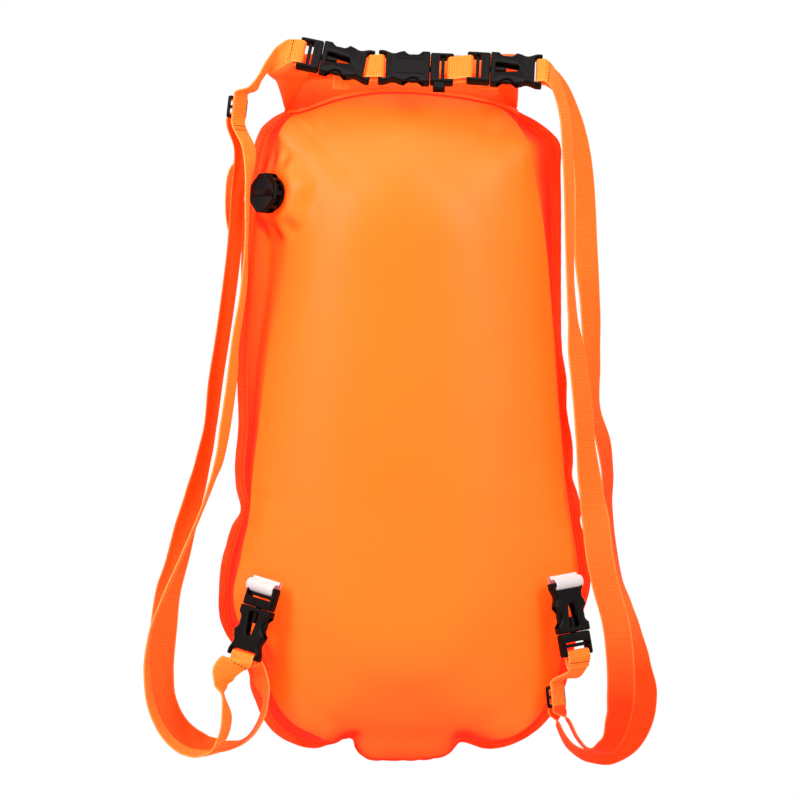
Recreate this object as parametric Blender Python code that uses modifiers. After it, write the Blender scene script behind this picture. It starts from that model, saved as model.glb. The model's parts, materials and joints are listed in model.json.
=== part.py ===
"""Open water swim buoy: an inflated dry bag with a rolled mouth, five side-release buckles,
a twist valve and two webbing shoulder straps. Metres, +Z up. The strap side faces -Y.
The origin is the hang point, under the middle of the row of top buckles."""

import math

import bmesh
import bpy
from mathutils import Matrix, Vector
from mathutils.bvhtree import BVHTree

# Bag
BAG_WIDTH = 0.331
BAG_LENGTH = 0.601
FRONT_DEPTH = 0.085
REAR_DEPTH = 0.075
RIM_Y = 0.070
SIDE_RIM = 0.013
TOP_RIM = 0.003
CREASE_DEPTH = 0.024
SHEET = 0.0009
LINER_DEPTH = 0.006
GAP = 0.0003
SEAT_CLEARANCE = 0.002

# Rolled mouth
RING_RADIUS = 0.028
RING_HALF_STRAIGHT = 0.0795
ROLL_THICKNESS = 0.014
ROLL_HEIGHT = 0.021
ROLL_WALL = 0.0050
ROLL_BOTTOM_Z = 0.0107
STIFFENER = 0.0015
STIFFENER_HEIGHT = 0.009
COLLAR_HALF_LAYERS = 0.0008

# Webbing
WEB_WIDTH = 0.025
WEB = 0.0013
TAB_WIDTH = 0.027
ROLL_TAB_WIDTH = 0.016
TAB_RISE = 0.010
LEAD = 0.005
LEFT_LINK_GAP = 0.005517
RIGHT_LINK_GAP = 0.011911

# Side-release buckle
BUCKLE_HALF_WIDTH = 0.017
BUCKLE_THICKNESS = 0.009
FEMALE_LENGTH = 0.046
MALE_LENGTH = 0.021
MALE_HALF_WIDTH = 0.016
BAR_RADIUS = 0.002
SLOT_HALF = 0.0139
SLOT_WIDTH = 0.0026
MALE_SLOT_DEPTH = 0.0125
MIDDLE_BAR_RADIUS = 0.0013
MIDDLE_BAR_X = 0.0118
CAVITY_THICKNESS = 0.005
CAVITY_LENGTH = 0.027
CAVITY_HALF = 0.0139
MOUTH_LENGTH = 0.0055
PAD_WINDOW_LENGTH = 0.0195
PAD_WINDOW_SIDE = 0.0118
SIDE_CLEARANCE = 0.0004
PRONG_WIDTH = 0.003
PRONG_REACH = 0.0255
PRONG_START = 0.0015
PAD_START = 0.007
PAD_LENGTH = 0.014
PAD_RISE = 0.0012
TONGUE_LENGTH = 0.014
TONGUE_HALF = 0.002
SCOOP_RADIUS = 0.009
SCOOP_CENTRE_X = 0.0150
SCOOP_CENTRE_Z = 0.0215
HOOK_OPENING = 0.0035
OVERRUN = 0.001
WRAP_RADIUS = BAR_RADIUS + GAP + WEB / 2

# Whistle on the middle male half
WHISTLE_LENGTH = 0.010
WHISTLE_WIDTH = 0.0065
WHISTLE_DROP = 0.0070
WHISTLE_X = 0.0085
WHISTLE_SLOT = 0.0016

# Strap adjuster
GLIDE_LENGTH = 0.020
GLIDE_HALF_WIDTH = 0.0165
GLIDE_THICKNESS = 0.0035
GLIDE_RAIL = 0.0024
GLIDE_BAR_RADIUS = 0.0015
GLIDE_BAR_X = GLIDE_LENGTH / 2 - GLIDE_BAR_RADIUS - GAP
GLIDE_WRAP_RADIUS = GLIDE_BAR_RADIUS + GAP + WEB / 2

# Valve
VALVE_HOLE_RADIUS = 0.0092
VALVE_TUBE_RADIUS = 0.0085
VALVE_BORE_RADIUS = 0.0062
VALVE_FLANGE_RADIUS = 0.0150
VALVE_FLANGE = 0.0018
VALVE_DEPTH = 0.011
VALVE_NECK = 0.0040
KNOB_RADIUS = 0.0185
KNOB_HEIGHT = 0.0085
KNOB_WALL = 0.0022
KNOB_RIDGE_WIDTH = 0.0060
KNOB_RIDGE_HEIGHT = 0.0040
SEAL_RADIUS = 0.0013
FLAP_THICKNESS = 0.0010

# Places measured on the photograph, in its pixels
BAG_WIDTH_PX = 372
BAG_LENGTH_PX = 675
CENTRE_PX = 404
ROW_PY = 88
RING_CENTRE_PX = 397
ROLL_END_PX = (345, 487)
SPINE_ENDS_PY = (238, 610)
LINER_PY = (200, 420, 640, 700)
LINER_MOUTH_SHARE = 0.80
LINER_WIDTH_SHARES = (0.86, 0.84, 0.80, 0.50)
LINER_SIDES = 24
TAB_PROBE_SHARES = (-0.5, -0.25, 0, 0.25, 0.5)
COLLAR_LEVELS = 5
TURN_STEPS = 12
ROLL_SIDES = 12

RIM_LEFT_PX = (
    (284, 110), (262, 125), (255, 139), (249, 165), (243.5, 200), (240.5, 250), (240, 300), (237.5, 340),
    (236.4, 380), (237.4, 426), (234, 466), (235.3, 489), (239.7, 511), (230.7, 527), (225, 546),
    (220.8, 561), (217.8, 594), (218.8, 619), (224, 633), (236, 652), (248.4, 676), (249.4, 688),
    (254.5, 702), (262.7, 721), (277, 737), (297, 747), (313.7, 750), (330, 746),
)
RIM_BOTTOM_PX = (
    (351.5, 740), (355, 748.7), (360.7, 756.7), (369.8, 761.3), (391.7, 762), (414.6, 762),
    (437.6, 759.6), (449, 755.6), (454.8, 748.7), (460.5, 744),
)
RIM_RIGHT_PX = (
    (483.5, 750), (498.4, 750), (520, 743), (541, 729), (555, 712), (566, 688), (574, 655),
    (583.7, 614.7), (590, 594), (592, 572), (590, 560), (586.7, 539), (581, 521), (582.5, 512),
    (579, 495), (573.3, 477.6), (574, 460), (573.3, 443), (567.6, 408.7), (567.6, 380), (563, 350),
    (562, 300), (562, 250), (562, 200), (561.5, 170), (560.6, 141.8), (545, 125), (519, 110),
)
CREASE_PX = (
    (502, 101.6), (484, 96.5), (462, 92.5), (440, 90), (418, 88), (396, 87.3), (370, 88.5), (343, 93),
    (326, 98), (312, 103), (298, 107),
)

RING_SHARES = (1.0, 0.975, 0.92, 0.82, 0.66, 0.42, 0.14)
BULGE_POWER = 2.5
WALL_POWER = 2.2

# Each buckle: the middle of its mouth, and of the end of its female half
TOP_LEFT_PX = ((321.5, 58.0), (372.1, 68.6))
TOP_CENTRE_PX = ((430.0, 69.5), (378.3, 67.6))
TOP_RIGHT_PX = ((490.5, 69.5), (545.0, 72.5))
LOW_LEFT_PX = ((258.5, 608.0), (244.5, 655.0))
LOW_RIGHT_PX = ((573.0, 632.0), (565.0, 585.0))
ROW_FACE_UP_DEG = 36
FOLLOW_SHARES = (1, 0.8, 0.6, 0.4, 0.2)
SLIDE_DIGITS = 6
LOW_FACE_OUT_DEG = 38

VALVE_PX = (274, 194)
LEFT_GLIDE_PX = ((238.5, 94), (235.5, 121))
RIGHT_GLIDE_PX = ((554.5, 681), (557.5, 712))
LEFT_GLIDE_DEPTH_SHARE = 0.14
RIGHT_GLIDE_DEPTH_SHARE = 0.20
LEFT_GLIDE_OUT_DEG = -62
RIGHT_GLIDE_OUT_DEG = -62

# Webbing edges: one edge, the other edge, then how far back the middle lies as a share of FRONT_DEPTH
LEFT_UPPER_PX = (
    (277, 46, 268, 70), (266, 58, 262, 74), (259, 73, 261, 75), (249, 84, 258, 86),
)
LEFT_UPPER_DEPTH_SHARES = (0.01, 0.04, 0.07, 0.10)
LEFT_FRONT_PX = (
    (242.5, 150, 255, 150), (243.5, 195, 251, 195), (244, 240, 247, 240), (240, 291, 245, 291),
    (233, 342, 240, 342), (228, 380, 238, 380), (220, 426, 230, 426), (215, 460, 223, 460),
    (209, 483, 213.5, 483), (201, 508, 203, 509), (176, 566, 178, 567), (160, 602, 162, 603),
    (149, 633, 151, 634), (144, 674, 149, 674), (149, 711, 156, 709), (162, 737, 168, 732),
    (178, 752, 182, 745), (193, 757, 195, 750), (207, 754, 207, 748), (217, 743, 215, 737),
    (221, 721, 227, 723), (219, 700, 226, 703), (212, 680, 225, 690), (214, 662, 238, 672),
)
LEFT_FRONT_DEPTH_SHARES = (
    0.08, 0.02, 0.04, 0.10, 0.16, 0.20, 0.22, 0.23, 0.22, 0.20, 0.18, 0.17,
    0.15, 0.13, 0.12, 0.11, 0.10, 0.09, 0.08, 0.07, 0.05, 0.03, 0.00, -0.04,
)
LEFT_REAR_PX = (
    (234, 150, 242, 150), (228.5, 195, 240.5, 195), (226.5, 240, 241, 240), (221, 291, 235, 291),
    (213, 342, 227, 342), (209, 380, 221, 380), (204, 426, 215, 426), (195, 460, 209, 460),
    (184, 495, 203, 495), (173, 529, 195, 529), (165, 560, 188, 560), (154.5, 592, 180, 592),
    (149, 631, 176, 631), (145, 674, 173, 671), (149, 710, 176, 698), (162, 737, 186, 718),
    (178, 752, 199, 730), (197, 758, 212, 736), (220, 757, 228, 739), (240, 748, 241, 739),
    (255, 731, 252, 726), (266, 706, 262, 704), (270, 684, 265, 685), (264, 667, 255, 672),
)
LEFT_REAR_DEPTH_SHARES = (
    0.38, 0.50, 0.56, 0.59, 0.59, 0.60, 0.60, 0.60, 0.60, 0.60, 0.60, 0.59,
    0.58, 0.56, 0.54, 0.52, 0.49, 0.45, 0.38, 0.30, 0.22, 0.15, 0.09, 0.05,
)
RIGHT_FRONT_PX = (
    (557, 104, 568, 104), (562, 160, 573, 160), (566, 220, 573, 220), (567, 280, 573, 280),
    (567.5, 312, 575, 312), (569, 361, 587, 361), (573, 400, 592, 400), (576, 440, 595, 440),
    (579, 489, 603, 489), (582, 522, 610, 522), (586, 560, 615, 560), (592, 590, 622, 590),
    (599, 623, 633, 623), (605, 655, 635, 655), (607, 690, 635, 690), (606, 716, 630, 724),
    (600, 740, 614, 752), (589, 748, 590, 752), (579, 738, 577.5, 740.5), (569, 719, 567, 721),
)
RIGHT_FRONT_DEPTH_SHARES = (
    0.16, 0.20, 0.22, 0.23, 0.23, 0.22, 0.20, 0.18, 0.15, 0.13, 0.10, 0.08,
    0.06, 0.05, 0.05, 0.06, 0.08, 0.11, 0.14, 0.18,
)
RIGHT_REAR_PX = (
    (563, 112, 580, 110), (573, 160, 593, 160), (580, 220, 599, 220), (581, 300, 601, 300),
    (584, 360, 601, 360), (588, 408, 601, 408), (596, 440, 611, 440), (602, 472, 614, 472),
    (604, 506, 613, 506), (609, 540, 616, 540), (616, 580, 623, 580), (622, 605, 632, 603),
    (632, 630, 641, 628), (641, 664, 651, 662), (645, 694, 658, 694), (641, 719, 653, 726),
    (629, 741, 638, 751), (611, 753, 614, 765), (592, 757, 589, 763), (573, 745, 569, 750),
    (560, 724, 557, 727),
)
RIGHT_REAR_DEPTH_SHARES = (
    0.46, 0.52, 0.54, 0.55, 0.54, 0.54, 0.54, 0.53, 0.52, 0.51, 0.50, 0.49,
    0.48, 0.46, 0.45, 0.44, 0.43, 0.42, 0.38, 0.32, 0.25,
)
RIGHT_LOWER_PX = ((566, 664, 588, 672), (566, 672, 577, 680))
RIGHT_LOWER_DEPTH_SHARES = (0.02, 0.10)
HANDLE_PX = (
    (251.5, 154, 257, 156), (241, 156, 246.5, 161), (229, 167, 237, 171), (224.5, 197, 233.5, 197),
    (227, 228, 235, 224), (234, 242, 240, 236), (243, 249, 246, 243),
)
ROLL_TABS_PX = (342, 490.5)
ROLL_TAB_SHARES = (0.80, 0, -0.55)
STEPS_PER_STATION = 2
WRAP_STEPS = 6

FEMALE_OUTLINE_SHARES = (
    (0, 1), (0.50, 1), (0.60, 0.92), (0.67, 0.82), (0.74, 0.82), (0.83, 0.93), (0.89, 1), (1, 1),
)
MALE_OUTLINE_SHARES = ((0, 1), (0.55, 1), (0.88, 0.97), (1, 0.90))
WINDOW_SHARES = ((0.10, 0.34), (0.55, 0.17))

ORANGE = (1.0, 0.22, 0.02, 1)
WEB_ORANGE = (1.0, 0.25, 0.03, 1)
BLACK = (0.012, 0.011, 0.011, 1)
WHITE = (0.85, 0.84, 0.82, 1)


def clear_scene():
    for obj in list(bpy.data.objects):
        bpy.data.objects.remove(obj, do_unlink=True)


def new_collection(name):
    collection = bpy.data.collections.new(name)
    bpy.context.scene.collection.children.link(collection)
    return collection


def new_material(name, colour, roughness):
    material = bpy.data.materials.new(name)
    material.use_nodes = True
    shader = material.node_tree.nodes["Principled BSDF"]
    shader.inputs["Base Color"].default_value = colour
    shader.inputs["Roughness"].default_value = roughness
    shader.inputs["Metallic"].default_value = 0.0
    return material


def add_piece(name, mesh, matrix, material):
    """One named object; the mesh may be shared with another piece."""
    if not mesh.materials:
        mesh.materials.append(material)
    piece = bpy.data.objects.new(name, mesh)
    parts.objects.link(piece)
    piece.matrix_world = matrix
    return piece


def add_cutter(name, mesh, matrix):
    cutter = bpy.data.objects.new(name, mesh)
    cutters.objects.link(cutter)
    cutter.matrix_world = matrix
    cutter.hide_render = True
    cutter.display_type = "WIRE"
    return cutter


def mesh_from_bmesh(name, bm):
    mesh = bpy.data.meshes.new(name)
    bm.to_mesh(mesh)
    bm.free()
    return mesh


def box_mesh(name, low, high):
    """A box between two corners."""
    bm = bmesh.new()
    bmesh.ops.create_cube(bm, size=1)
    size = Vector(high) - Vector(low)
    bmesh.ops.scale(bm, vec=size, verts=bm.verts)
    bmesh.ops.translate(bm, vec=(Vector(high) + Vector(low)) / 2, verts=bm.verts)
    return mesh_from_bmesh(name, bm)


def rod_mesh(name, radius, low, high, x, sides=16):
    """A round bar along Z at the given x."""
    bm = bmesh.new()
    bmesh.ops.create_cone(
        bm, cap_ends=True, segments=sides, radius1=radius, radius2=radius, depth=high - low)
    bmesh.ops.translate(bm, vec=(x, 0, (high + low) / 2), verts=bm.verts)
    return mesh_from_bmesh(name, bm)


def disc_mesh(name, radius, x, z, depth, sides=24):
    """A disc across Y, used to scoop a face."""
    bm = bmesh.new()
    bmesh.ops.create_cone(bm, cap_ends=True, segments=sides, radius1=radius, radius2=radius, depth=depth)
    bmesh.ops.rotate(bm, cent=(0, 0, 0), matrix=Matrix.Rotation(math.pi / 2, 3, "X"), verts=bm.verts)
    bmesh.ops.translate(bm, vec=(x, 0, z), verts=bm.verts)
    return mesh_from_bmesh(name, bm)


def plate_mesh(name, outline, thickness):
    """A flat outline in XZ, given as (x, z) points, with its thickness along Y."""
    curve = bpy.data.curves.new(name, "CURVE")
    curve.dimensions = "2D"
    curve.fill_mode = "BOTH"
    curve.extrude = thickness / 2
    spline = curve.splines.new("POLY")
    spline.points.add(len(outline) - 1)
    for point, (x, z) in zip(spline.points, outline):
        point.co = (x, z, 0, 1)
    spline.use_cyclic_u = True
    holder = bpy.data.objects.new(name, curve)
    parts.objects.link(holder)
    bpy.context.view_layer.update()
    mesh = bpy.data.meshes.new_from_object(holder.evaluated_get(bpy.context.evaluated_depsgraph_get()))
    bpy.data.objects.remove(holder, do_unlink=True)
    bm = bmesh.new()
    bm.from_mesh(mesh)
    bmesh.ops.remove_doubles(bm, verts=bm.verts, dist=GAP / 10)
    bmesh.ops.recalc_face_normals(bm, faces=bm.faces)
    bmesh.ops.rotate(bm, cent=(0, 0, 0), matrix=Matrix.Rotation(math.pi / 2, 3, "X"), verts=bm.verts)
    bm.to_mesh(mesh)
    bm.free()
    return mesh


def mirrored(shares, length, half_width):
    """A closed outline from one side's (x, z) shares and its mirror image below the axis."""
    upper = [(x * length, z * half_width) for x, z in shares]
    lower = [(x, -z) for x, z in reversed(upper)]
    return upper + lower


def combined_mesh(name, base, steps):
    """Joins and cuts meshes in turn, each step being an operation and a mesh, and returns the result."""
    target = bpy.data.objects.new(name, base)
    parts.objects.link(target)
    others = []
    for operation, mesh in steps:
        other = bpy.data.objects.new(mesh.name, mesh)
        cutters.objects.link(other)
        others.append(other)
        modifier = target.modifiers.new(operation.title(), "BOOLEAN")
        modifier.operation = operation
        modifier.solver = "EXACT"
        modifier.object = other
    bpy.context.view_layer.update()
    mesh = bpy.data.meshes.new_from_object(target.evaluated_get(bpy.context.evaluated_depsgraph_get()))
    mesh.name = name
    for obj in [target] + others:
        bpy.data.objects.remove(obj, do_unlink=True)
    bm = bmesh.new()
    bm.from_mesh(mesh)
    bmesh.ops.remove_doubles(bm, verts=bm.verts, dist=GAP / 100)
    bmesh.ops.triangulate(bm, faces=[face for face in bm.faces if len(face.verts) > 4])
    bm.to_mesh(mesh)
    bm.free()
    return mesh


def turned_mesh(name, profile, steps=28):
    """A turned solid about Z from (radius, height) points, listed down its outside from the top."""
    curve = bpy.data.meshes.new(name + "_profile")
    count = len(profile)
    edges = [(i, i + 1) for i in range(count - 1)]
    if profile[0][0] > 0:
        edges.append((count - 1, 0))
    curve.from_pydata([(r, 0, z) for r, z in profile], edges, [])
    holder = bpy.data.objects.new(name, curve)
    parts.objects.link(holder)
    screw = holder.modifiers.new("Screw", "SCREW")
    screw.steps = steps
    screw.render_steps = steps
    screw.use_merge_vertices = True
    screw.merge_threshold = GAP / 10
    bpy.context.view_layer.update()
    mesh = bpy.data.meshes.new_from_object(holder.evaluated_get(bpy.context.evaluated_depsgraph_get()))
    bpy.data.objects.remove(holder, do_unlink=True)
    bm = bmesh.new()
    bm.from_mesh(mesh)
    bmesh.ops.remove_doubles(bm, verts=bm.verts, dist=GAP / 10)
    bmesh.ops.recalc_face_normals(bm, faces=bm.faces)
    bm.to_mesh(mesh)
    bm.free()
    return mesh


def photo_x(px):
    return (px - CENTRE_PX) * BAG_WIDTH / BAG_WIDTH_PX


def photo_z(py):
    return (ROW_PY - py) * BAG_LENGTH / BAG_LENGTH_PX


def photo_point(px, py, y):
    return Vector((photo_x(px), y, photo_z(py)))


def frame_matrix(origin, along, facing):
    """Local X runs along, local -Y is the facing side, local Z is the width."""
    x_axis = along.normalized()
    y_axis = -(facing - facing.dot(x_axis) * x_axis).normalized()
    z_axis = x_axis.cross(y_axis)
    matrix = Matrix((x_axis, y_axis, z_axis)).transposed().to_4x4()
    matrix.translation = origin
    return matrix


def crease_share(x):
    """How open the bag's top is at x: 0 at the corners of the crease, 1 in the middle."""
    left = photo_x(RIM_LEFT_PX[0][0])
    right = photo_x(RIM_RIGHT_PX[-1][0])
    across = (2 * x - left - right) / (right - left)
    return max(0.0, 1 - across * across)


def rim_points():
    """The rim's outline as (x, z, half opening, rim width), anticlockwise seen from the front."""
    points = []
    for px, py in RIM_LEFT_PX + RIM_BOTTOM_PX + RIM_RIGHT_PX:
        points.append((photo_x(px), photo_z(py), 0.0, SIDE_RIM))
    for px, py in CREASE_PX:
        x = photo_x(px)
        points.append((x, photo_z(py), CREASE_DEPTH * crease_share(x), TOP_RIM))
    return points


def bulge(share, edge, depth):
    """Height of the panel above the rim plane at a share of the way from the spine to the rim."""
    return edge + (depth - edge) * (1 - share ** BULGE_POWER) ** (1 / WALL_POWER)


def panel_mesh(name, side, depth):
    """A pillow-shaped wall with its flat rim, as an open sheet whose faces point out of the bag."""
    spine_top, spine_bottom = (photo_z(py) for py in SPINE_ENDS_PY)
    bm = bmesh.new()
    rings = []
    outline = rim_points()
    for share in (None,) + RING_SHARES:
        ring = []
        for x, z, edge, rim in outline:
            spine = Vector((0, min(max(z, spine_bottom), spine_top)))
            outer = Vector((x, z))
            inner = outer + (spine - outer).normalized() * rim
            place = outer if share is None else spine.lerp(inner, share)
            height = edge if share is None else bulge(share, edge, depth)
            y = RIM_Y + side * (GAP / 2 + SHEET + height)
            ring.append(bm.verts.new((place.x, y, place.y)))
        rings.append(ring)
    count = len(outline)
    for outer, inner in zip(rings, rings[1:]):
        for i in range(count):
            j = (i + 1) % count
            corners = (outer[i], outer[j], inner[j], inner[i])
            bm.faces.new(corners if side < 0 else corners[::-1])
    cap = rings[-1] if side < 0 else rings[-1][::-1]
    bm.faces.new(cap)
    bmesh.ops.triangulate(bm, faces=[f for f in bm.faces if len(f.verts) > 4])
    return mesh_from_bmesh(name, bm)


def solidify(piece, thickness, offset):
    modifier = piece.modifiers.new("Wall", "SOLIDIFY")
    modifier.thickness = thickness
    modifier.offset = offset
    return modifier


def ring_line(extra_left, extra_right):
    """The C that the rolled mouth follows in plan, from its left front end round the back."""
    step_count = TURN_STEPS
    centre_x = photo_x(RING_CENTRE_PX)
    front_y = ring_front_y()
    centre_y = front_y + RING_RADIUS
    points = []
    if extra_left > 0:
        points.append((centre_x - RING_HALF_STRAIGHT + extra_left, front_y))
    for i in range(step_count + 1):
        angle = -math.pi / 2 - math.pi * i / step_count
        points.append((centre_x - RING_HALF_STRAIGHT + RING_RADIUS * math.cos(angle),
                       centre_y + RING_RADIUS * math.sin(angle)))
    for i in range(step_count + 1):
        angle = math.pi / 2 - math.pi * i / step_count
        points.append((centre_x + RING_HALF_STRAIGHT + RING_RADIUS * math.cos(angle),
                       centre_y + RING_RADIUS * math.sin(angle)))
    if extra_right > 0:
        points.append((centre_x + RING_HALF_STRAIGHT - extra_right, front_y))
    return points


def ring_front_y():
    """Middle of the roll's front ends, just behind the tilted top buckles."""
    tilt = math.radians(ROW_FACE_UP_DEG)
    row_back = BUCKLE_HALF_WIDTH * math.sin(tilt) + BUCKLE_THICKNESS / 2 * math.cos(tilt)
    return row_back + ROLL_THICKNESS / 2 + WEB + 2 * GAP


def swept_mesh(name, line, section, closed_ends=True):
    """Sweeps a section of (out, up) points along a level line of (x, y) points."""
    bm = bmesh.new()
    rings = []
    for i, (x, y) in enumerate(line):
        before = Vector(line[max(i - 1, 0)])
        after = Vector(line[min(i + 1, len(line) - 1)])
        tangent = (after - before).normalized()
        out = Vector((-tangent.y, tangent.x))
        rings.append([bm.verts.new((x + out.x * a, y + out.y * a, b)) for a, b in section])
    count = len(section)
    for first, second in zip(rings, rings[1:]):
        for i in range(count):
            j = (i + 1) % count
            bm.faces.new((first[i], first[j], second[j], second[i]))
    if closed_ends:
        bm.faces.new(rings[0][::-1])
        bm.faces.new(rings[-1])
    bmesh.ops.recalc_face_normals(bm, faces=bm.faces)
    return mesh_from_bmesh(name, bm)


def oval_section(half_width, half_height, centre_z, sides, power=0.6):
    """A rounded-box section."""
    points = []
    for i in range(sides):
        angle = 2 * math.pi * (i + 0.5) / sides
        c, s = math.cos(angle), math.sin(angle)
        points.append((half_width * math.copysign(abs(c) ** power, c),
                       centre_z + half_height * math.copysign(abs(s) ** power, s)))
    return points


def add_roll(material, strip_material):
    """The rolled mouth, hollow along its middle, and the flat strip inside it."""
    left = photo_x(ROLL_END_PX[0]) - (photo_x(RING_CENTRE_PX) - RING_HALF_STRAIGHT)
    right = photo_x(RING_CENTRE_PX) + RING_HALF_STRAIGHT - photo_x(ROLL_END_PX[1])
    line = ring_line(left, right)
    middle = ROLL_BOTTOM_Z + ROLL_HEIGHT / 2
    outer = oval_section(ROLL_THICKNESS / 2, ROLL_HEIGHT / 2, middle, ROLL_SIDES)
    mesh = swept_mesh("roll_top", line, outer, closed_ends=False)
    roll = add_piece("roll_top", mesh, Matrix(), material)
    solidify(roll, ROLL_WALL, -1)
    half, low, high = STIFFENER / 2, middle - STIFFENER_HEIGHT / 2, middle + STIFFENER_HEIGHT / 2
    strip = [(-half, low), (half, low), (half, high), (-half, high)]
    add_piece("mouth_stiffener", swept_mesh("mouth_stiffener", line, strip), Matrix(), strip_material)


def crease_line():
    """The chamber's top edge from left to right as (x, z, half opening)."""
    places = RIM_LEFT_PX[:1] + CREASE_PX[::-1] + RIM_RIGHT_PX[-1:]
    return [(photo_x(px), photo_z(py), CREASE_DEPTH * crease_share(photo_x(px))) for px, py in places]


def along_line(line, share):
    """The point at a share of a polyline's length."""
    spans = [(Vector(b) - Vector(a)).length for a, b in zip(line, line[1:])]
    target = share * sum(spans)
    for (a, b), span in zip(zip(line, line[1:]), spans):
        if target <= span:
            return Vector(a).lerp(Vector(b), target / span)
        target -= span
    return Vector(line[-1])


def collar_loop(rise, half_layers):
    """The sleeve at a share of its height: along its front layer and back along the rear one."""
    crease, line = crease_line(), ring_line(0, 0)
    swing = rise * rise * (3 - 2 * rise)
    top_z = ROLL_BOTTOM_Z - GAP
    columns = 2 * (len(crease) - 1)
    middles, halves, heights = [], [], []
    for i in range(columns + 1):
        before, after = Vector(crease[i // 2]), Vector(crease[(i + 1) // 2])
        x, z, opening = (before + after) / 2
        middles.append(Vector((x, RIM_Y)).lerp(along_line(line, i / columns), swing))
        halves.append(half_layers + opening * (1 - swing))
        heights.append(z + GAP + (top_z - z - GAP) * rise)
    front, rear = [], []
    for i, (middle, half, height) in enumerate(zip(middles, halves, heights)):
        ahead = (middles[min(i + 1, columns)] - middles[max(i - 1, 0)]).normalized()
        past = (half_layers - COLLAR_HALF_LAYERS) * ((i == columns) - (i == 0))
        across = Vector((-ahead.y, ahead.x)) * half
        for layer, sign in ((front, -1), (rear, 1)):
            place = middle + sign * across + past * ahead
            layer.append((place.x, place.y, height))
    return front + rear[::-1]


def add_collar(material):
    """The neck: an open sleeve from the chamber's lens-shaped top to the C of the roll."""
    bm = bmesh.new()
    walls = []
    for half_layers in (COLLAR_HALF_LAYERS, COLLAR_HALF_LAYERS + SHEET):
        loops = [collar_loop(level / (COLLAR_LEVELS - 1), half_layers) for level in range(COLLAR_LEVELS)]
        walls.append([[bm.verts.new(place) for place in loop] for loop in loops])
    inner, outer = walls
    round_trip = outer + inner[::-1] + outer[:1]
    count = len(outer[0])
    for first, second in zip(round_trip, round_trip[1:]):
        for i in range(count):
            j = (i + 1) % count
            bm.faces.new((first[i], first[j], second[j], second[i]))
    bmesh.ops.triangulate(bm, faces=bm.faces)
    bmesh.ops.recalc_face_normals(bm, faces=bm.faces)
    add_piece("collar", mesh_from_bmesh("collar", bm), Matrix(), material)


def add_liner(material):
    """The dry compartment: a flat pouch open at its top, hanging from the collar inside the chamber."""
    crease = crease_line()
    left, right = crease[0][0], crease[-1][0]
    half = (right - left) / 2
    top_z = min(z for _, z, _ in crease[3:-3]) - TOP_RIM
    levels = [(top_z, half * LINER_MOUTH_SHARE, CREASE_DEPTH - 2 * SHEET)]
    for py, share in zip(LINER_PY, LINER_WIDTH_SHARES):
        levels.append((photo_z(py), half * share, LINER_DEPTH))
    centre = (left + right) / 2
    bm = bmesh.new()
    rings = []
    for z, half_width, half_depth in levels:
        ring = []
        for i in range(LINER_SIDES):
            angle = 2 * math.pi * i / LINER_SIDES
            x, y = centre + half_width * math.cos(angle), RIM_Y + half_depth * math.sin(angle)
            ring.append(bm.verts.new((x, y, z)))
        rings.append(ring)
    for high, low in zip(rings, rings[1:]):
        for i in range(LINER_SIDES):
            j = (i + 1) % LINER_SIDES
            bm.faces.new((high[j], high[i], low[i], low[j]))
    bm.faces.new(rings[-1][::-1])
    liner = add_piece("dry_liner", mesh_from_bmesh("dry_liner", bm), Matrix(), material)
    solidify(liner, SHEET, -1)


def surface_tree(mesh):
    bm = bmesh.new()
    bm.from_mesh(mesh)
    tree = BVHTree.FromBMesh(bm)
    bm.free()
    return tree


def panel_hit(x, z):
    """Where a line from the front meets the front panel at (x, z): its place and its outward normal."""
    start = Vector((x, RIM_Y - 2 * FRONT_DEPTH, z))
    place, normal, _, _ = front_tree.ray_cast(start, Vector((0, 1, 0)))
    if place is None:
        return Vector((x, RIM_Y, z)), Vector((0, -1, 0))
    return place, normal


def smoothed(stations, steps):
    """A smooth run through (place, width vector) stations, heading at each along its mean direction."""
    last = len(stations) - 1
    heads = [(b[0] - a[0]).normalized() for a, b in zip(stations, stations[1:])]
    tangents = [(heads[max(i - 1, 0)] + heads[min(i, last - 1)]) / 2 for i in range(last + 1)]
    result = []
    for i in range(last):
        first, second = stations[i], stations[i + 1]
        span = (second[0] - first[0]).length
        for step in range(steps):
            t = step / steps
            ease = t * t * (3 - 2 * t)
            place = (first[0].lerp(second[0], ease) + tangents[i] * span * t * (1 - t) ** 2
                     - tangents[i + 1] * span * t * t * (1 - t))
            result.append((place, first[1].lerp(second[1], ease).normalized() * first[1].length))
    result.append(stations[-1])
    return result


def ribbon_mesh(name, stations, thickness, closed=False):
    """Webbing through (place, width vector) stations, the vector running from edge to edge."""
    bm = bmesh.new()
    rings = []
    count = len(stations)
    for i, (place, width) in enumerate(stations):
        if closed:
            tangent = stations[(i + 1) % count][0] - stations[i - 1][0]
        else:
            tangent = stations[min(i + 1, count - 1)][0] - stations[max(i - 1, 0)][0]
        normal = tangent.cross(width).normalized() * thickness / 2
        half = width / 2
        corners = ((-1, -1), (1, -1), (1, 1), (-1, 1))
        rings.append([bm.verts.new(place + a * half + b * normal) for a, b in corners])
    pairs = list(zip(rings, rings[1:]))
    if closed:
        pairs.append((rings[-1], rings[0]))
    for first, second in pairs:
        for i in range(4):
            j = (i + 1) % 4
            bm.faces.new((first[i], first[j], second[j], second[i]))
    if not closed:
        bm.faces.new(rings[0][::-1])
        bm.faces.new(rings[-1])
    bmesh.ops.recalc_face_normals(bm, faces=bm.faces)
    return mesh_from_bmesh(name, bm)


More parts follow.
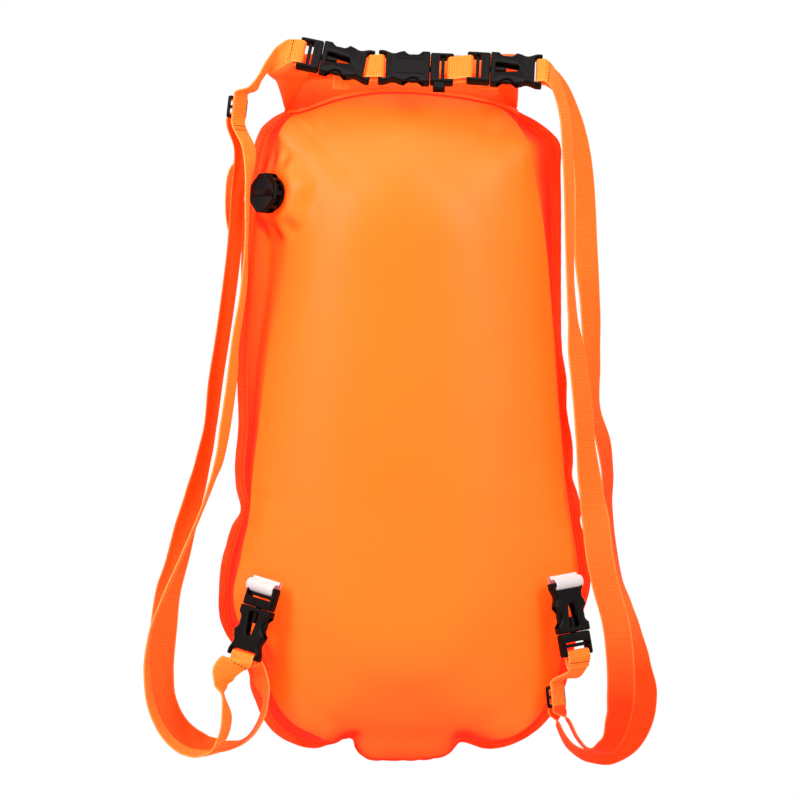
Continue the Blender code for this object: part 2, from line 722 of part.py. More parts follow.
def photo_stations(edges, depths):
    """Stations from the two edges seen in the photograph: the rest of the width lies in depth."""
    stations = []
    for (ax, ay, bx, by), depth in zip(edges, depths):
        first, second = photo_point(ax, ay, 0), photo_point(bx, by, 0)
        seen = second - first
        if seen.length > WEB_WIDTH:
            seen *= WEB_WIDTH / seen.length
        hidden = math.sqrt(max(0.0, WEB_WIDTH ** 2 - seen.length_squared))
        middle = (first + second) / 2
        middle.y = depth * FRONT_DEPTH
        stations.append((middle, Vector((seen.x, hidden, seen.z))))
    return stations


def wrap_stations(centre, away, facing, width, radius):
    """Half a turn round a bar, from its facing side to the other, on the side opposite to away."""
    across = away.cross(facing).normalized() * width
    stations = []
    for i in range(WRAP_STEPS + 1):
        angle = math.pi * i / WRAP_STEPS
        place = centre + facing * radius * math.cos(angle) - away * radius * math.sin(angle)
        stations.append((place, across.copy()))
    return stations


def matching(stations, reference):
    """Turns the width vectors so that the first of them points the same way as the reference."""
    if stations[0][1].dot(reference) < 0:
        return [(place, -width) for place, width in stations]
    return stations


class Buckle:
    """Where one side-release buckle sits, and the places on it that webbing goes round."""

    def __init__(self, name, pixels, up_deg, out_deg, kind, end_stays=False):
        self.name = name
        self.kind = kind
        mouth, end = (photo_point(px, py, 0) for px, py in pixels)
        if end_stays:
            mouth = end + (mouth - end).normalized() * FEMALE_LENGTH
        facing = Vector((math.sin(math.radians(out_deg)), -math.cos(math.radians(out_deg)), 0))
        facing.rotate(Matrix.Rotation(-math.radians(up_deg), 3, "X"))
        self.matrix = frame_matrix(mouth, end - mouth, facing)
        self.along = self.matrix.col[0].to_3d()
        self.facing = -self.matrix.col[1].to_3d()
        self.slid = 0.0

    def slide_to(self, own_x, target_x):
        """Slides the buckle along the row, in whole micrometres, to bring its own_x to the target."""
        self.slid = round(target_x - (self.matrix @ Vector((own_x, 0, 0))).x, SLIDE_DIGITS)
        self.matrix.translation.x += self.slid

    def move_onto_panel(self):
        """Brings the buckle forward until its back clears the front panel."""
        nearest = 0.0
        for x in (-MALE_LENGTH, 0, FEMALE_LENGTH / 2, FEMALE_LENGTH):
            for z in (-BUCKLE_HALF_WIDTH, 0, BUCKLE_HALF_WIDTH):
                corner = self.matrix @ Vector((x, BUCKLE_THICKNESS / 2, z))
                place, _ = panel_hit(corner.x, corner.z)
                nearest = min(nearest, place.y - corner.y)
        self.matrix.translation.y += nearest - SEAT_CLEARANCE

    def female_bar(self):
        return self.matrix @ Vector((FEMALE_LENGTH - BAR_RADIUS, 0, 0))

    def male_bar(self):
        return self.matrix @ Vector((BAR_RADIUS - MALE_LENGTH, 0, 0))


def female_mesh(kind):
    """The female half: mouth at x = 0, its bar at the far end."""
    outline = mirrored(FEMALE_OUTLINE_SHARES, FEMALE_LENGTH, BUCKLE_HALF_WIDTH)
    body = plate_mesh("female", outline, BUCKLE_THICKNESS)
    half = BUCKLE_THICKNESS / 2 + OVERRUN
    slot_start = FEMALE_LENGTH - 2 * BAR_RADIUS - SLOT_WIDTH
    deep = CAVITY_THICKNESS / 2
    side = BUCKLE_HALF_WIDTH + OVERRUN
    window_end = MOUTH_LENGTH + PAD_WINDOW_LENGTH
    cuts = [
        box_mesh("slot", (slot_start, -half, -SLOT_HALF), (FEMALE_LENGTH + OVERRUN, half, SLOT_HALF)),
        box_mesh("cavity", (-OVERRUN, -deep, -CAVITY_HALF), (CAVITY_LENGTH, deep, CAVITY_HALF)),
        box_mesh("pad_window_a", (MOUTH_LENGTH, -deep, PAD_WINDOW_SIDE), (window_end, deep, side)),
        box_mesh("pad_window_b", (MOUTH_LENGTH, -deep, -side), (window_end, deep, -PAD_WINDOW_SIDE)),
        disc_mesh("scoop_a", SCOOP_RADIUS, SCOOP_CENTRE_X, SCOOP_CENTRE_Z, 2 * half),
        disc_mesh("scoop_b", SCOOP_RADIUS, SCOOP_CENTRE_X, -SCOOP_CENTRE_Z, 2 * half),
    ]
    if kind != "solid":
        shares = mirrored(WINDOW_SHARES, FEMALE_LENGTH, BUCKLE_HALF_WIDTH)
        cuts.append(plate_mesh("window", shares, 2 * half))
    steps = [("DIFFERENCE", cut) for cut in cuts]
    reach = SLOT_HALF + OVERRUN
    low = -SLOT_HALF + HOOK_OPENING if kind == "hook" else -reach
    steps.append(("UNION", rod_mesh("bar", BAR_RADIUS, low, reach, FEMALE_LENGTH - BAR_RADIUS)))
    return combined_mesh("female_" + kind, body, steps)


def male_mesh(whistle):
    """The male half without its prongs: the base, its bars and the middle tongue."""
    outline = [(-x - GAP, z) for x, z in mirrored(MALE_OUTLINE_SHARES, MALE_LENGTH - GAP, MALE_HALF_WIDTH)]
    body = plate_mesh("male", outline, BUCKLE_THICKNESS)
    half = BUCKLE_THICKNESS / 2 + OVERRUN
    reach = SLOT_HALF + OVERRUN / 2
    deep = CAVITY_THICKNESS / 2 - GAP
    slot = box_mesh("slot", (-MALE_LENGTH - OVERRUN, -half, -SLOT_HALF),
                    (MALE_SLOT_DEPTH - MALE_LENGTH, half, SLOT_HALF))
    tongue = box_mesh("tongue", (-OVERRUN, -deep, -TONGUE_HALF), (TONGUE_LENGTH, deep, TONGUE_HALF))
    steps = [
        ("DIFFERENCE", slot),
        ("UNION", rod_mesh("bar", BAR_RADIUS, -reach, reach, BAR_RADIUS - MALE_LENGTH)),
        ("UNION", rod_mesh("middle_bar", MIDDLE_BAR_RADIUS, -reach, reach, -MIDDLE_BAR_X)),
        ("UNION", tongue),
    ]
    if whistle:
        tip = MALE_HALF_WIDTH + WHISTLE_DROP
        wide, bore = WHISTLE_LENGTH / 2, WHISTLE_LENGTH / 3
        mouthpiece = box_mesh("whistle", (-WHISTLE_X - wide, -WHISTLE_WIDTH / 2, SLOT_HALF - OVERRUN),
                              (-WHISTLE_X + wide, WHISTLE_WIDTH / 2, tip))
        blow_slot = box_mesh("blow_slot", (-WHISTLE_X - bore, -WHISTLE_SLOT / 2, tip - WHISTLE_DROP),
                             (-WHISTLE_X + bore, WHISTLE_SLOT / 2, tip + OVERRUN))
        steps += [("UNION", mouthpiece), ("DIFFERENCE", blow_slot)]
    return combined_mesh("male_whistle" if whistle else "male_plain", body, steps)


def prong_mesh():
    """One flexing prong with its origin on the root's round end; its pad rises towards +Z."""
    radius = PRONG_WIDTH / 2
    points = []
    for i in range(7):
        angle = math.radians(-90 - 180 * i / 6)
        points.append((radius * math.cos(angle), radius * math.sin(angle)))
    for i in range(9):
        share = i / 8
        rise = PAD_RISE * 4 * share * (1 - share)
        points.append((PAD_START - PRONG_START + PAD_LENGTH * share, radius + rise))
    reach = PRONG_REACH - PRONG_START
    points.append((reach - radius, radius))
    points.append((reach, 0))
    points.append((reach - radius, -radius))
    return plate_mesh("prong", points, CAVITY_THICKNESS - 2 * GAP)


def pivot(side):
    """Where a prong flexes from, in its buckle's own frame."""
    return Vector((PRONG_START, 0, side * (CAVITY_HALF - SIDE_CLEARANCE - PRONG_WIDTH / 2)))


def add_buckle(buckle, meshes, material):
    """The four pieces of one buckle, each prong with its origin on its flexing root."""
    add_piece(buckle.name + "_female", meshes["female_" + buckle.kind], buckle.matrix, material)
    male = "male_whistle" if buckle.kind == "solid" else "male_plain"
    add_piece(buckle.name + "_male", meshes[male], buckle.matrix, material)
    upper = buckle.matrix @ Matrix.Translation(pivot(1))
    lower = buckle.matrix @ Matrix.Translation(pivot(-1)) @ Matrix.Rotation(math.pi, 4, "X")
    add_piece(buckle.name + "_prong_a", meshes["prong"], upper, material)
    add_piece(buckle.name + "_prong_b", meshes["prong"], lower, material)


def add_link(name, first_bar, second_bar, first, second, material):
    """A sewn loop of webbing round the bars of two neighbouring buckles."""
    between = second_bar - first_bar
    leads = [math.copysign(1, between.dot(first.along)), math.copysign(1, -between.dot(second.along))]
    start = wrap_stations(first_bar, leads[0] * first.along, first.facing, WEB_WIDTH, WRAP_RADIUS)
    end = wrap_stations(second_bar, leads[1] * second.along, second.facing, WEB_WIDTH, WRAP_RADIUS)
    end = matching(end, start[0][1])
    loop = start + end[::-1]
    add_piece(name, ribbon_mesh(name, loop, WEB, closed=True), Matrix(), material)


def add_white_tab(name, bar, away, facing, material):
    """A coated strip welded to the front panel and folded round a lower buckle's bar."""
    stations = wrap_stations(bar, away, facing, TAB_WIDTH, WRAP_RADIUS)
    across = stations[0][1]
    top = bar + away * TAB_RISE
    drops = [front_tree.ray_cast(top + share * across, -facing)[3] for share in TAB_PROBE_SHARES]
    rear = top - facing * (min(drops) - WEB / 2 - GAP)
    front = rear + facing * (WEB + GAP)
    square = stations[0][0] + away * WRAP_RADIUS
    loop = [(front, across), (square, across)] + stations + [(rear, across)]
    add_piece(name, ribbon_mesh(name, loop, WEB, closed=True), Matrix(), material)


class Glide:
    """A three-bar strap adjuster."""

    def __init__(self, name, pixels, depth_share, out_deg):
        self.name = name
        top, bottom = (photo_point(px, py, depth_share * FRONT_DEPTH) for px, py in pixels)
        facing = Vector((-math.sin(math.radians(out_deg)), -math.cos(math.radians(out_deg)), 0))
        self.matrix = frame_matrix((top + bottom) / 2, bottom - top, facing)
        self.along = self.matrix.col[0].to_3d()
        self.facing = -self.matrix.col[1].to_3d()

    def bar(self, end):
        return self.matrix @ Vector((end * GLIDE_BAR_X, 0, 0))


def glide_mesh():
    half_length = GLIDE_LENGTH / 2
    half = GLIDE_THICKNESS / 2
    inner = GLIDE_HALF_WIDTH - GLIDE_RAIL
    rail = box_mesh("rail", (-half_length, -half, inner), (half_length, half, GLIDE_HALF_WIDTH))
    other = box_mesh("other_rail", (-half_length, -half, -GLIDE_HALF_WIDTH), (half_length, half, -inner))
    reach = inner + OVERRUN
    steps = []
    for i, end in enumerate((-1, 0, 1)):
        place = end * GLIDE_BAR_X
        steps.append(("UNION", rod_mesh("bar_%d" % i, GLIDE_BAR_RADIUS, -reach, reach, place)))
    steps.append(("UNION", other))
    return combined_mesh("glide", rail, steps)


def bar_wrap(bar, away, facing):
    """Webbing half round a buckle's bar."""
    return wrap_stations(bar, away, facing, WEB_WIDTH, WRAP_RADIUS)


def glide_wrap(glide, end):
    """Webbing half round an adjuster's end bar."""
    return wrap_stations(glide.bar(end), end * glide.along, glide.facing, WEB_WIDTH, GLIDE_WRAP_RADIUS)


def led_out(station, away):
    """The next station of webbing that leaves a bar squarely."""
    return station[0] + away * LEAD, station[1]


def past_end(station, away):
    """A station just past the end of another ply, along the way that it leaves its bar."""
    return station[0] + away * 2 * GAP, station[1]


def run_between(first, first_away, middle, last, last_away):
    """A smooth run that leaves one bar squarely, follows the middle and meets the other bar squarely."""
    stations = [first, led_out(first, first_away)] + middle + [led_out(last, last_away), last]
    return smoothed(stations, STEPS_PER_STATION)


def add_single_ply(name, buckle, glide, middle, material):
    """One ply from round a male half's end bar to round the near end bar of an adjuster."""
    sewn = matching(bar_wrap(buckle.male_bar(), -buckle.along, buckle.facing), middle[0][1])[::-1]
    end = matching(glide_wrap(glide, -1), middle[-1][1])
    run = run_between(sewn[-1], -buckle.along, middle, end[0], -glide.along)
    add_piece(name, ribbon_mesh(name, sewn + run[1:] + end[1:], WEB), Matrix(), material)


def add_two_plies(name, top, top_away, low, low_away, front, rear, material):
    """A front ply that goes round both end bars, and a rear ply that joins its two ends."""
    top = matching(top, front[0][1])
    low = matching(low, front[-1][1])
    run = run_between(top[0], top_away, front, low[0], low_away)
    front_name, rear_name = name + "_front", name + "_rear"
    add_piece(front_name, ribbon_mesh(front_name, top[:0:-1] + run + low[1:], WEB), Matrix(), material)
    rear_top = past_end(top[-1], top_away)
    rear = matching(rear, rear_top[1])
    rear_low = matching([past_end(low[-1], low_away)], rear[-1][1])[0]
    run = run_between(rear_top, top_away, rear, rear_low, low_away)
    add_piece(rear_name, ribbon_mesh(rear_name, run, WEB), Matrix(), material)


def following(stations, buckle):
    """Lets the stations nearest a buckle move with it when it slides along its row."""
    for (place, _), share in zip(stations, FOLLOW_SHARES):
        place.x += share * buckle.slid
    return stations


def add_left_strap(male_buckle, female_buckle, glide, material):
    """The left strap: one ply from the top buckle to the adjuster, two from there to the lower buckle."""
    middle = following(photo_stations(LEFT_UPPER_PX, LEFT_UPPER_DEPTH_SHARES), male_buckle)
    add_single_ply("strap_left_upper", male_buckle, glide, middle, material)
    front = photo_stations(LEFT_FRONT_PX, LEFT_FRONT_DEPTH_SHARES)
    rear = photo_stations(LEFT_REAR_PX, LEFT_REAR_DEPTH_SHARES)
    low = bar_wrap(female_buckle.female_bar(), female_buckle.along, female_buckle.facing)
    add_two_plies("strap_left", glide_wrap(glide, 1), glide.along, low, female_buckle.along,
                  front, rear, material)


def add_right_strap(hook_buckle, male_buckle, glide, material):
    """The right strap: two plies from the hook bar to the adjuster, and one up to the lower buckle."""
    front = following(photo_stations(RIGHT_FRONT_PX, RIGHT_FRONT_DEPTH_SHARES), hook_buckle)
    rear = following(photo_stations(RIGHT_REAR_PX, RIGHT_REAR_DEPTH_SHARES), hook_buckle)
    top = bar_wrap(hook_buckle.female_bar(), hook_buckle.along, hook_buckle.facing)
    add_two_plies("strap_right", top, hook_buckle.along, glide_wrap(glide, 1), glide.along,
                  front, rear, material)
    middle = photo_stations(RIGHT_LOWER_PX, RIGHT_LOWER_DEPTH_SHARES)
    add_single_ply("strap_right_lower", male_buckle, glide, middle, material)


def add_roll_tab(name, px, material):
    """A short webbing tab behind the row of buckles, hanging down in front of the roll."""
    y = ring_front_y() - ROLL_THICKNESS / 2 - GAP - WEB / 2
    across = Vector((ROLL_TAB_WIDTH, 0, 0))
    heights = [ROLL_BOTTOM_Z + ROLL_HEIGHT * share for share in ROLL_TAB_SHARES]
    stations = [(Vector((photo_x(px), y, z)), across) for z in heights]
    add_piece(name, ribbon_mesh(name, stations, WEB), Matrix(), material)


def valve_matrix():
    """On the panel's left shoulder, with local Z along the panel's outward normal."""
    place, normal = panel_hit(photo_x(VALVE_PX[0]), photo_z(VALVE_PX[1]))
    matrix = normal.to_track_quat("Z", "Y").to_matrix().to_4x4()
    matrix.translation = place
    return matrix


def add_valve(panel, plastic, rubber):
    matrix = valve_matrix()
    hole = bmesh.new()
    reach = VALVE_FLANGE_RADIUS
    bmesh.ops.create_cone(hole, cap_ends=True, segments=28, radius1=VALVE_HOLE_RADIUS,
                          radius2=VALVE_HOLE_RADIUS, depth=2 * reach)
    cutter = add_cutter("valve_hole", mesh_from_bmesh("valve_hole", hole), matrix)
    cut = panel.modifiers.new("Valve hole", "BOOLEAN")
    cut.operation = "DIFFERENCE"
    cut.solver = "EXACT"
    cut.object = cutter
    seat = GAP
    top = seat + VALVE_FLANGE
    neck_top = top + VALVE_NECK
    base = [(VALVE_BORE_RADIUS, neck_top), (VALVE_TUBE_RADIUS, neck_top), (VALVE_TUBE_RADIUS, top),
            (VALVE_FLANGE_RADIUS, top), (VALVE_FLANGE_RADIUS, seat), (VALVE_TUBE_RADIUS, seat),
            (VALVE_TUBE_RADIUS, -VALVE_DEPTH), (VALVE_BORE_RADIUS, -VALVE_DEPTH)]
    add_piece("valve_base", turned_mesh("valve_base", base), matrix, plastic)
    seal = [(VALVE_TUBE_RADIUS + GAP + SEAL_RADIUS * (1 + math.cos(math.radians(a))),
             top + GAP + SEAL_RADIUS * (1 + math.sin(math.radians(a)))) for a in range(90, -270, -45)]
    add_piece("valve_seal", turned_mesh("valve_seal", seal), matrix, rubber)
    knob_low = top + 2 * GAP + 2 * SEAL_RADIUS
    knob_top = knob_low + KNOB_HEIGHT
    under = max(neck_top, knob_low) + GAP
    plug_low = neck_top - VALVE_NECK
    knob = [(0, knob_top), (KNOB_RADIUS - KNOB_WALL, knob_top), (KNOB_RADIUS, knob_top - KNOB_WALL),
            (KNOB_RADIUS, knob_low), (VALVE_TUBE_RADIUS + GAP, knob_low), (VALVE_TUBE_RADIUS + GAP, under),
            (VALVE_BORE_RADIUS - GAP, under), (VALVE_BORE_RADIUS - GAP, plug_low), (0, plug_low)]
    ridge = box_mesh("ridge", (-KNOB_RADIUS + KNOB_WALL, -KNOB_RIDGE_WIDTH / 2, knob_top - OVERRUN),
                     (KNOB_RADIUS - KNOB_WALL, KNOB_RIDGE_WIDTH / 2, knob_top + KNOB_RIDGE_HEIGHT))
    body = turned_mesh("valve_cap", knob)
    add_piece("valve_knob", combined_mesh("valve_knob", body, [("UNION", ridge)]), matrix, plastic)
    flap_top = -VALVE_DEPTH - GAP
    flap = [(0, flap_top), (VALVE_TUBE_RADIUS, flap_top), (VALVE_TUBE_RADIUS, flap_top - FLAP_THICKNESS),
            (0, flap_top - FLAP_THICKNESS)]
    add_piece("valve_flap", turned_mesh("valve_flap", flap), matrix, rubber)


def add_handle(material):
    """A short loop of webbing that stands with one edge on the back of the left rim."""
    rim_back = RIM_Y + GAP / 2 + SHEET
    stations = photo_stations(HANDLE_PX, [0] * len(HANDLE_PX))
    for place, width in stations:
        place.y = rim_back + GAP + (width.y + WEB) / 2
    stations = smoothed(stations, STEPS_PER_STATION)
    add_piece("side_handle", ribbon_mesh("side_handle", stations, WEB), Matrix(), material)


clear_scene()
parts = new_collection("swim_buoy")
cutters = new_collection("swim_buoy_cutters")

fabric = new_material("coated_fabric", ORANGE, 0.45)
liner_fabric = new_material("liner_fabric", ORANGE, 0.55)
webbing = new_material("webbing", WEB_ORANGE, 0.75)
acetal = new_material("black_plastic", BLACK, 0.32)
coated_white = new_material("white_coated_strip", WHITE, 0.40)
rubber_black = new_material("rubber", BLACK, 0.60)
strip_plastic = new_material("stiffener_plastic", WHITE, 0.50)

front_mesh = panel_mesh("front_panel", -1, FRONT_DEPTH)
front_tree = surface_tree(front_mesh)
front_panel = add_piece("front_panel", front_mesh, Matrix(), fabric)
solidify(front_panel, SHEET, -1)
rear_panel = add_piece("rear_panel", panel_mesh("rear_panel", 1, REAR_DEPTH), Matrix(), fabric)
solidify(rear_panel, SHEET, -1)
add_liner(liner_fabric)
add_collar(fabric)
add_roll(fabric, strip_plastic)

buckle_meshes = {"female_" + kind: female_mesh(kind) for kind in ("solid", "open", "hook")}
buckle_meshes["male_plain"] = male_mesh(False)
buckle_meshes["male_whistle"] = male_mesh(True)
buckle_meshes["prong"] = prong_mesh()
top_left = Buckle("top_left", TOP_LEFT_PX, ROW_FACE_UP_DEG, 0, "open", end_stays=True)
top_centre = Buckle("top_centre", TOP_CENTRE_PX, ROW_FACE_UP_DEG, 0, "solid", end_stays=True)
top_right = Buckle("top_right", TOP_RIGHT_PX, ROW_FACE_UP_DEG, 0, "hook")
female_meet = top_centre.matrix @ Vector((FEMALE_LENGTH, 0, 0))
male_meet = top_centre.matrix @ Vector((-MALE_LENGTH, 0, 0))
top_left.slide_to(FEMALE_LENGTH, female_meet.x - LEFT_LINK_GAP)
top_right.slide_to(-MALE_LENGTH, male_meet.x + RIGHT_LINK_GAP)
low_left = Buckle("low_left", LOW_LEFT_PX, 0, -LOW_FACE_OUT_DEG, "open")
low_right = Buckle("low_right", LOW_RIGHT_PX, 0, LOW_FACE_OUT_DEG, "open")
for low_buckle in (low_left, low_right):
    low_buckle.move_onto_panel()
for each_buckle in (top_left, top_centre, top_right, low_left, low_right):
    add_buckle(each_buckle, buckle_meshes, acetal)

add_link("link_left", top_left.female_bar(), top_centre.female_bar(), top_left, top_centre, webbing)
add_link("link_right", top_centre.male_bar(), top_right.male_bar(), top_centre, top_right, webbing)
add_white_tab("tab_left", low_left.male_bar(), -low_left.along, low_left.facing, coated_white)
add_white_tab("tab_right", low_right.female_bar(), low_right.along, low_right.facing, coated_white)
for tab_name, tab_px in zip(("roll_tab_left", "roll_tab_right"), ROLL_TABS_PX):
    add_roll_tab(tab_name, tab_px, webbing)

left_glide = Glide("triglide_left", LEFT_GLIDE_PX, LEFT_GLIDE_DEPTH_SHARE, LEFT_GLIDE_OUT_DEG)
right_glide = Glide("triglide_right", RIGHT_GLIDE_PX, RIGHT_GLIDE_DEPTH_SHARE, RIGHT_GLIDE_OUT_DEG)
shared_glide = glide_mesh()
for each_glide in (left_glide, right_glide):
    add_piece(each_glide.name, shared_glide, each_glide.matrix, acetal)
add_left_strap(top_left, low_left, left_glide, webbing)
add_right_strap(top_right, low_right, right_glide, webbing)
add_handle(webbing)
add_valve(front_panel, acetal, rubber_black)
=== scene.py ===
"""The looks of an open water swim buoy: its coated fabric bag and rolled mouth, webbing harness,
moulded buckles and twist valve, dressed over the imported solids. Metres, +Z up."""

import json
import math

import bmesh
import bpy
import numpy as np
from mathutils import Matrix, Vector, noise


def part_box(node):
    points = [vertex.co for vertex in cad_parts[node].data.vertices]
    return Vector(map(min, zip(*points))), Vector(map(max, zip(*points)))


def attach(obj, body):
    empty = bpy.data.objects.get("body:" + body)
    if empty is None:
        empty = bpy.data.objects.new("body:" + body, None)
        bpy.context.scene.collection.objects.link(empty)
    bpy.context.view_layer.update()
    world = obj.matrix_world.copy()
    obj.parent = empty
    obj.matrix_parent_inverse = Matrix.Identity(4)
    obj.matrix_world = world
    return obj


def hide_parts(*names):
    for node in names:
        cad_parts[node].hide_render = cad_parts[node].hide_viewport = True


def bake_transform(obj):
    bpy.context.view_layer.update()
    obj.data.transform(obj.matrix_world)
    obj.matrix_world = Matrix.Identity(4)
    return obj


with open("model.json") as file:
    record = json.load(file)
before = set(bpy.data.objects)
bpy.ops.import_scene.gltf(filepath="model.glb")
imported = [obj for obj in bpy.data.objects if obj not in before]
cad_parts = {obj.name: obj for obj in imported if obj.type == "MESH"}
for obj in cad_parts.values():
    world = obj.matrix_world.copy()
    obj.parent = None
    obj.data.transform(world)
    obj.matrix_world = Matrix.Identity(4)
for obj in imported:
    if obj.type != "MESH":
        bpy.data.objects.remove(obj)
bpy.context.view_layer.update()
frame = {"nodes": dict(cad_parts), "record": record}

# Sizes that the solids have too
BAG_WIDTH = 0.331
BAG_LENGTH = 0.601
FRONT_DEPTH = 0.085
REAR_DEPTH = 0.075
RIM_Y = 0.070
TOP_RIM = 0.003
CREASE_DEPTH = 0.024
SHEET = 0.0009
GAP = 0.0003
LINER_DEPTH = 0.006
RING_RADIUS = 0.028
RING_HALF_STRAIGHT = 0.0795
ROLL_THICKNESS = 0.014
ROLL_HEIGHT = 0.021
ROLL_BOTTOM_Z = 0.0107
COLLAR_HALF_LAYERS = 0.0008
WEB_WIDTH = 0.025
WEB = 0.0013
ROLL_TAB_WIDTH = 0.016
LEAD = 0.005
BUCKLE_HALF_WIDTH = 0.017
BUCKLE_THICKNESS = 0.009
FEMALE_LENGTH = 0.046
MALE_LENGTH = 0.021
MALE_HALF_WIDTH = 0.016
BAR_RADIUS = 0.002
SLOT_HALF = 0.0139
SLOT_WIDTH = 0.0026
MALE_SLOT_DEPTH = 0.0125
MIDDLE_BAR_RADIUS = 0.0013
MIDDLE_BAR_X = 0.0118
CAVITY_THICKNESS = 0.005
CAVITY_LENGTH = 0.027
CAVITY_HALF = 0.0139
MOUTH_LENGTH = 0.0055
PAD_WINDOW_LENGTH = 0.0195
PAD_WINDOW_SIDE = 0.0118
SIDE_CLEARANCE = 0.0004
PRONG_WIDTH = 0.003
PRONG_REACH = 0.0255
PRONG_START = 0.0015
PAD_START = 0.007
PAD_LENGTH = 0.014
PAD_RISE = 0.0012
TONGUE_LENGTH = 0.014
TONGUE_HALF = 0.002
SCOOP_RADIUS = 0.009
SCOOP_CENTRE_X = 0.0150
SCOOP_CENTRE_Z = 0.0215
HOOK_OPENING = 0.0035
OVERRUN = 0.001
FEMALE_BAR = FEMALE_LENGTH - BAR_RADIUS
MALE_BAR = BAR_RADIUS - MALE_LENGTH
WRAP_RADIUS = BAR_RADIUS + GAP + WEB / 2
WHISTLE_LENGTH = 0.010
WHISTLE_WIDTH = 0.0065
WHISTLE_DROP = 0.0070
WHISTLE_X = 0.0085
WHISTLE_SLOT = 0.0016
GLIDE_LENGTH = 0.020
GLIDE_HALF_WIDTH = 0.0165
GLIDE_RAIL = 0.0024
GLIDE_BAR_RADIUS = 0.0015
GLIDE_BAR_X = GLIDE_LENGTH / 2 - GLIDE_BAR_RADIUS - GAP
GLIDE_WRAP_RADIUS = GLIDE_BAR_RADIUS + GAP + WEB / 2
VALVE_TUBE_RADIUS = 0.0085
VALVE_BORE_RADIUS = 0.0062
VALVE_FLANGE_RADIUS = 0.0150
VALVE_FLANGE = 0.0018
VALVE_DEPTH = 0.011
VALVE_NECK = 0.0040
KNOB_RADIUS = 0.0185
KNOB_HEIGHT = 0.0085
SEAL_RADIUS = 0.0013

# Where the valve sits and which way it points
VALVE_PLACE = Vector((-0.115672, 0.026178, -0.094379))
VALVE_AXIS = Vector((-0.75516, -0.646972, 0.105643))

# Places measured on the photograph, in its pixels, with the tilts and depths that go with them
BAG_WIDTH_PX = 372
BAG_LENGTH_PX = 675
CENTRE_PX = 404
ROW_PY = 88
RING_CENTRE_PX = 397
ROLL_END_PX = (345, 487)
SPINE_ENDS_PY = (238, 610)
RIM_LEFT_PX = (
    (284, 110), (262, 125), (255, 139), (249, 165), (243.5, 200), (240.5, 250), (240, 300), (237.5, 340),
    (236.4, 380), (237.4, 426), (234, 466), (235.3, 489), (239.7, 511), (230.7, 527), (225, 546),
    (220.8, 561), (217.8, 594), (218.8, 619), (224, 633), (236, 652), (248.4, 676), (249.4, 688),
    (254.5, 702), (262.7, 721), (277, 737), (297, 747), (313.7, 750), (330, 746),
)
RIM_BOTTOM_PX = (
    (351.5, 740), (355, 748.7), (360.7, 756.7), (369.8, 761.3), (391.7, 762), (414.6, 762),
    (437.6, 759.6), (449, 755.6), (454.8, 748.7), (460.5, 744),
)
RIM_RIGHT_PX = (
    (483.5, 750), (498.4, 750), (520, 743), (541, 729), (555, 712), (566, 688), (574, 655),
    (583.7, 614.7), (590, 594), (592, 572), (590, 560), (586.7, 539), (581, 521), (582.5, 512),
    (579, 495), (573.3, 477.6), (574, 460), (573.3, 443), (567.6, 408.7), (567.6, 380), (563, 350),
    (562, 300), (562, 250), (562, 200), (561.5, 170), (560.6, 141.8), (545, 125), (519, 110),
)
FACE_LEFT_PX = (
    (293, 114), (279, 133), (281, 145), (282, 168), (281, 200), (279, 250), (274, 300), (269, 340),
    (264, 380), (258.5, 426), (253.5, 466), (251, 489), (249.5, 509), (247, 527), (242.5, 546),
    (240, 561), (233, 594), (237, 619), (245, 633), (262, 650), (268, 672), (270, 686), (274, 699),
    (283, 714), (297, 727), (313, 735), (325, 741), (333, 743),
)
FACE_BOTTOM_PX = (
    (352, 738), (356.5, 747), (362, 755), (370.5, 759.5), (391.7, 760.5), (414.6, 760.5),
    (437, 758), (448, 754), (453.5, 747.5), (460.5, 741),
)
FACE_RIGHT_PX = (
    (484, 741), (498, 741), (517, 735), (535, 721), (547, 704), (557, 682), (563, 652), (571, 612),
    (577, 594), (579, 573), (578, 560), (575, 540), (572, 522), (570.5, 511), (568, 495), (565.5, 478),
    (564, 460), (562.5, 443), (559.5, 409), (557.5, 380), (555.5, 350), (551.5, 300), (547, 250),
    (540, 200), (534, 170), (531, 147), (526, 137), (518, 124),
)
CREASE_PX = (
    (502, 101.6), (484, 96.5), (462, 92.5), (440, 90), (418, 88), (396, 87.3), (370, 88.5), (343, 93),
    (326, 98), (312, 103), (298, 107),
)
TOP_LEFT_PX = ((321.5, 58.0), (372.1, 68.6))
TOP_CENTRE_PX = ((430.0, 69.5), (378.3, 67.6))
TOP_RIGHT_PX = ((490.5, 69.5), (545.0, 72.5))
LOW_LEFT_PX = ((258.5, 608.0), (244.5, 655.0))
LOW_RIGHT_PX = ((573.0, 632.0), (565.0, 585.0))
ROW_FACE_UP_DEG = 36
LOW_FACE_OUT_DEG = 38
LOW_MOUTH_Y = -0.002
GLIDE_OUT_DEG = -62
LEFT_GLIDE_PX = ((238.5, 94), (235.5, 121))
RIGHT_GLIDE_PX = ((554.5, 681), (557.5, 712))
LEFT_GLIDE_DEPTH_SHARE = 0.14
RIGHT_GLIDE_DEPTH_SHARE = 0.20
LEFT_UPPER_PX = (
    (279, 45, 274, 71), (268, 59, 266, 73.5), (259, 75, 261, 80.5), (249, 87, 256, 90),
)
LEFT_UPPER_DEPTH_SHARES = (0.01, 0.04, 0.07, 0.10)
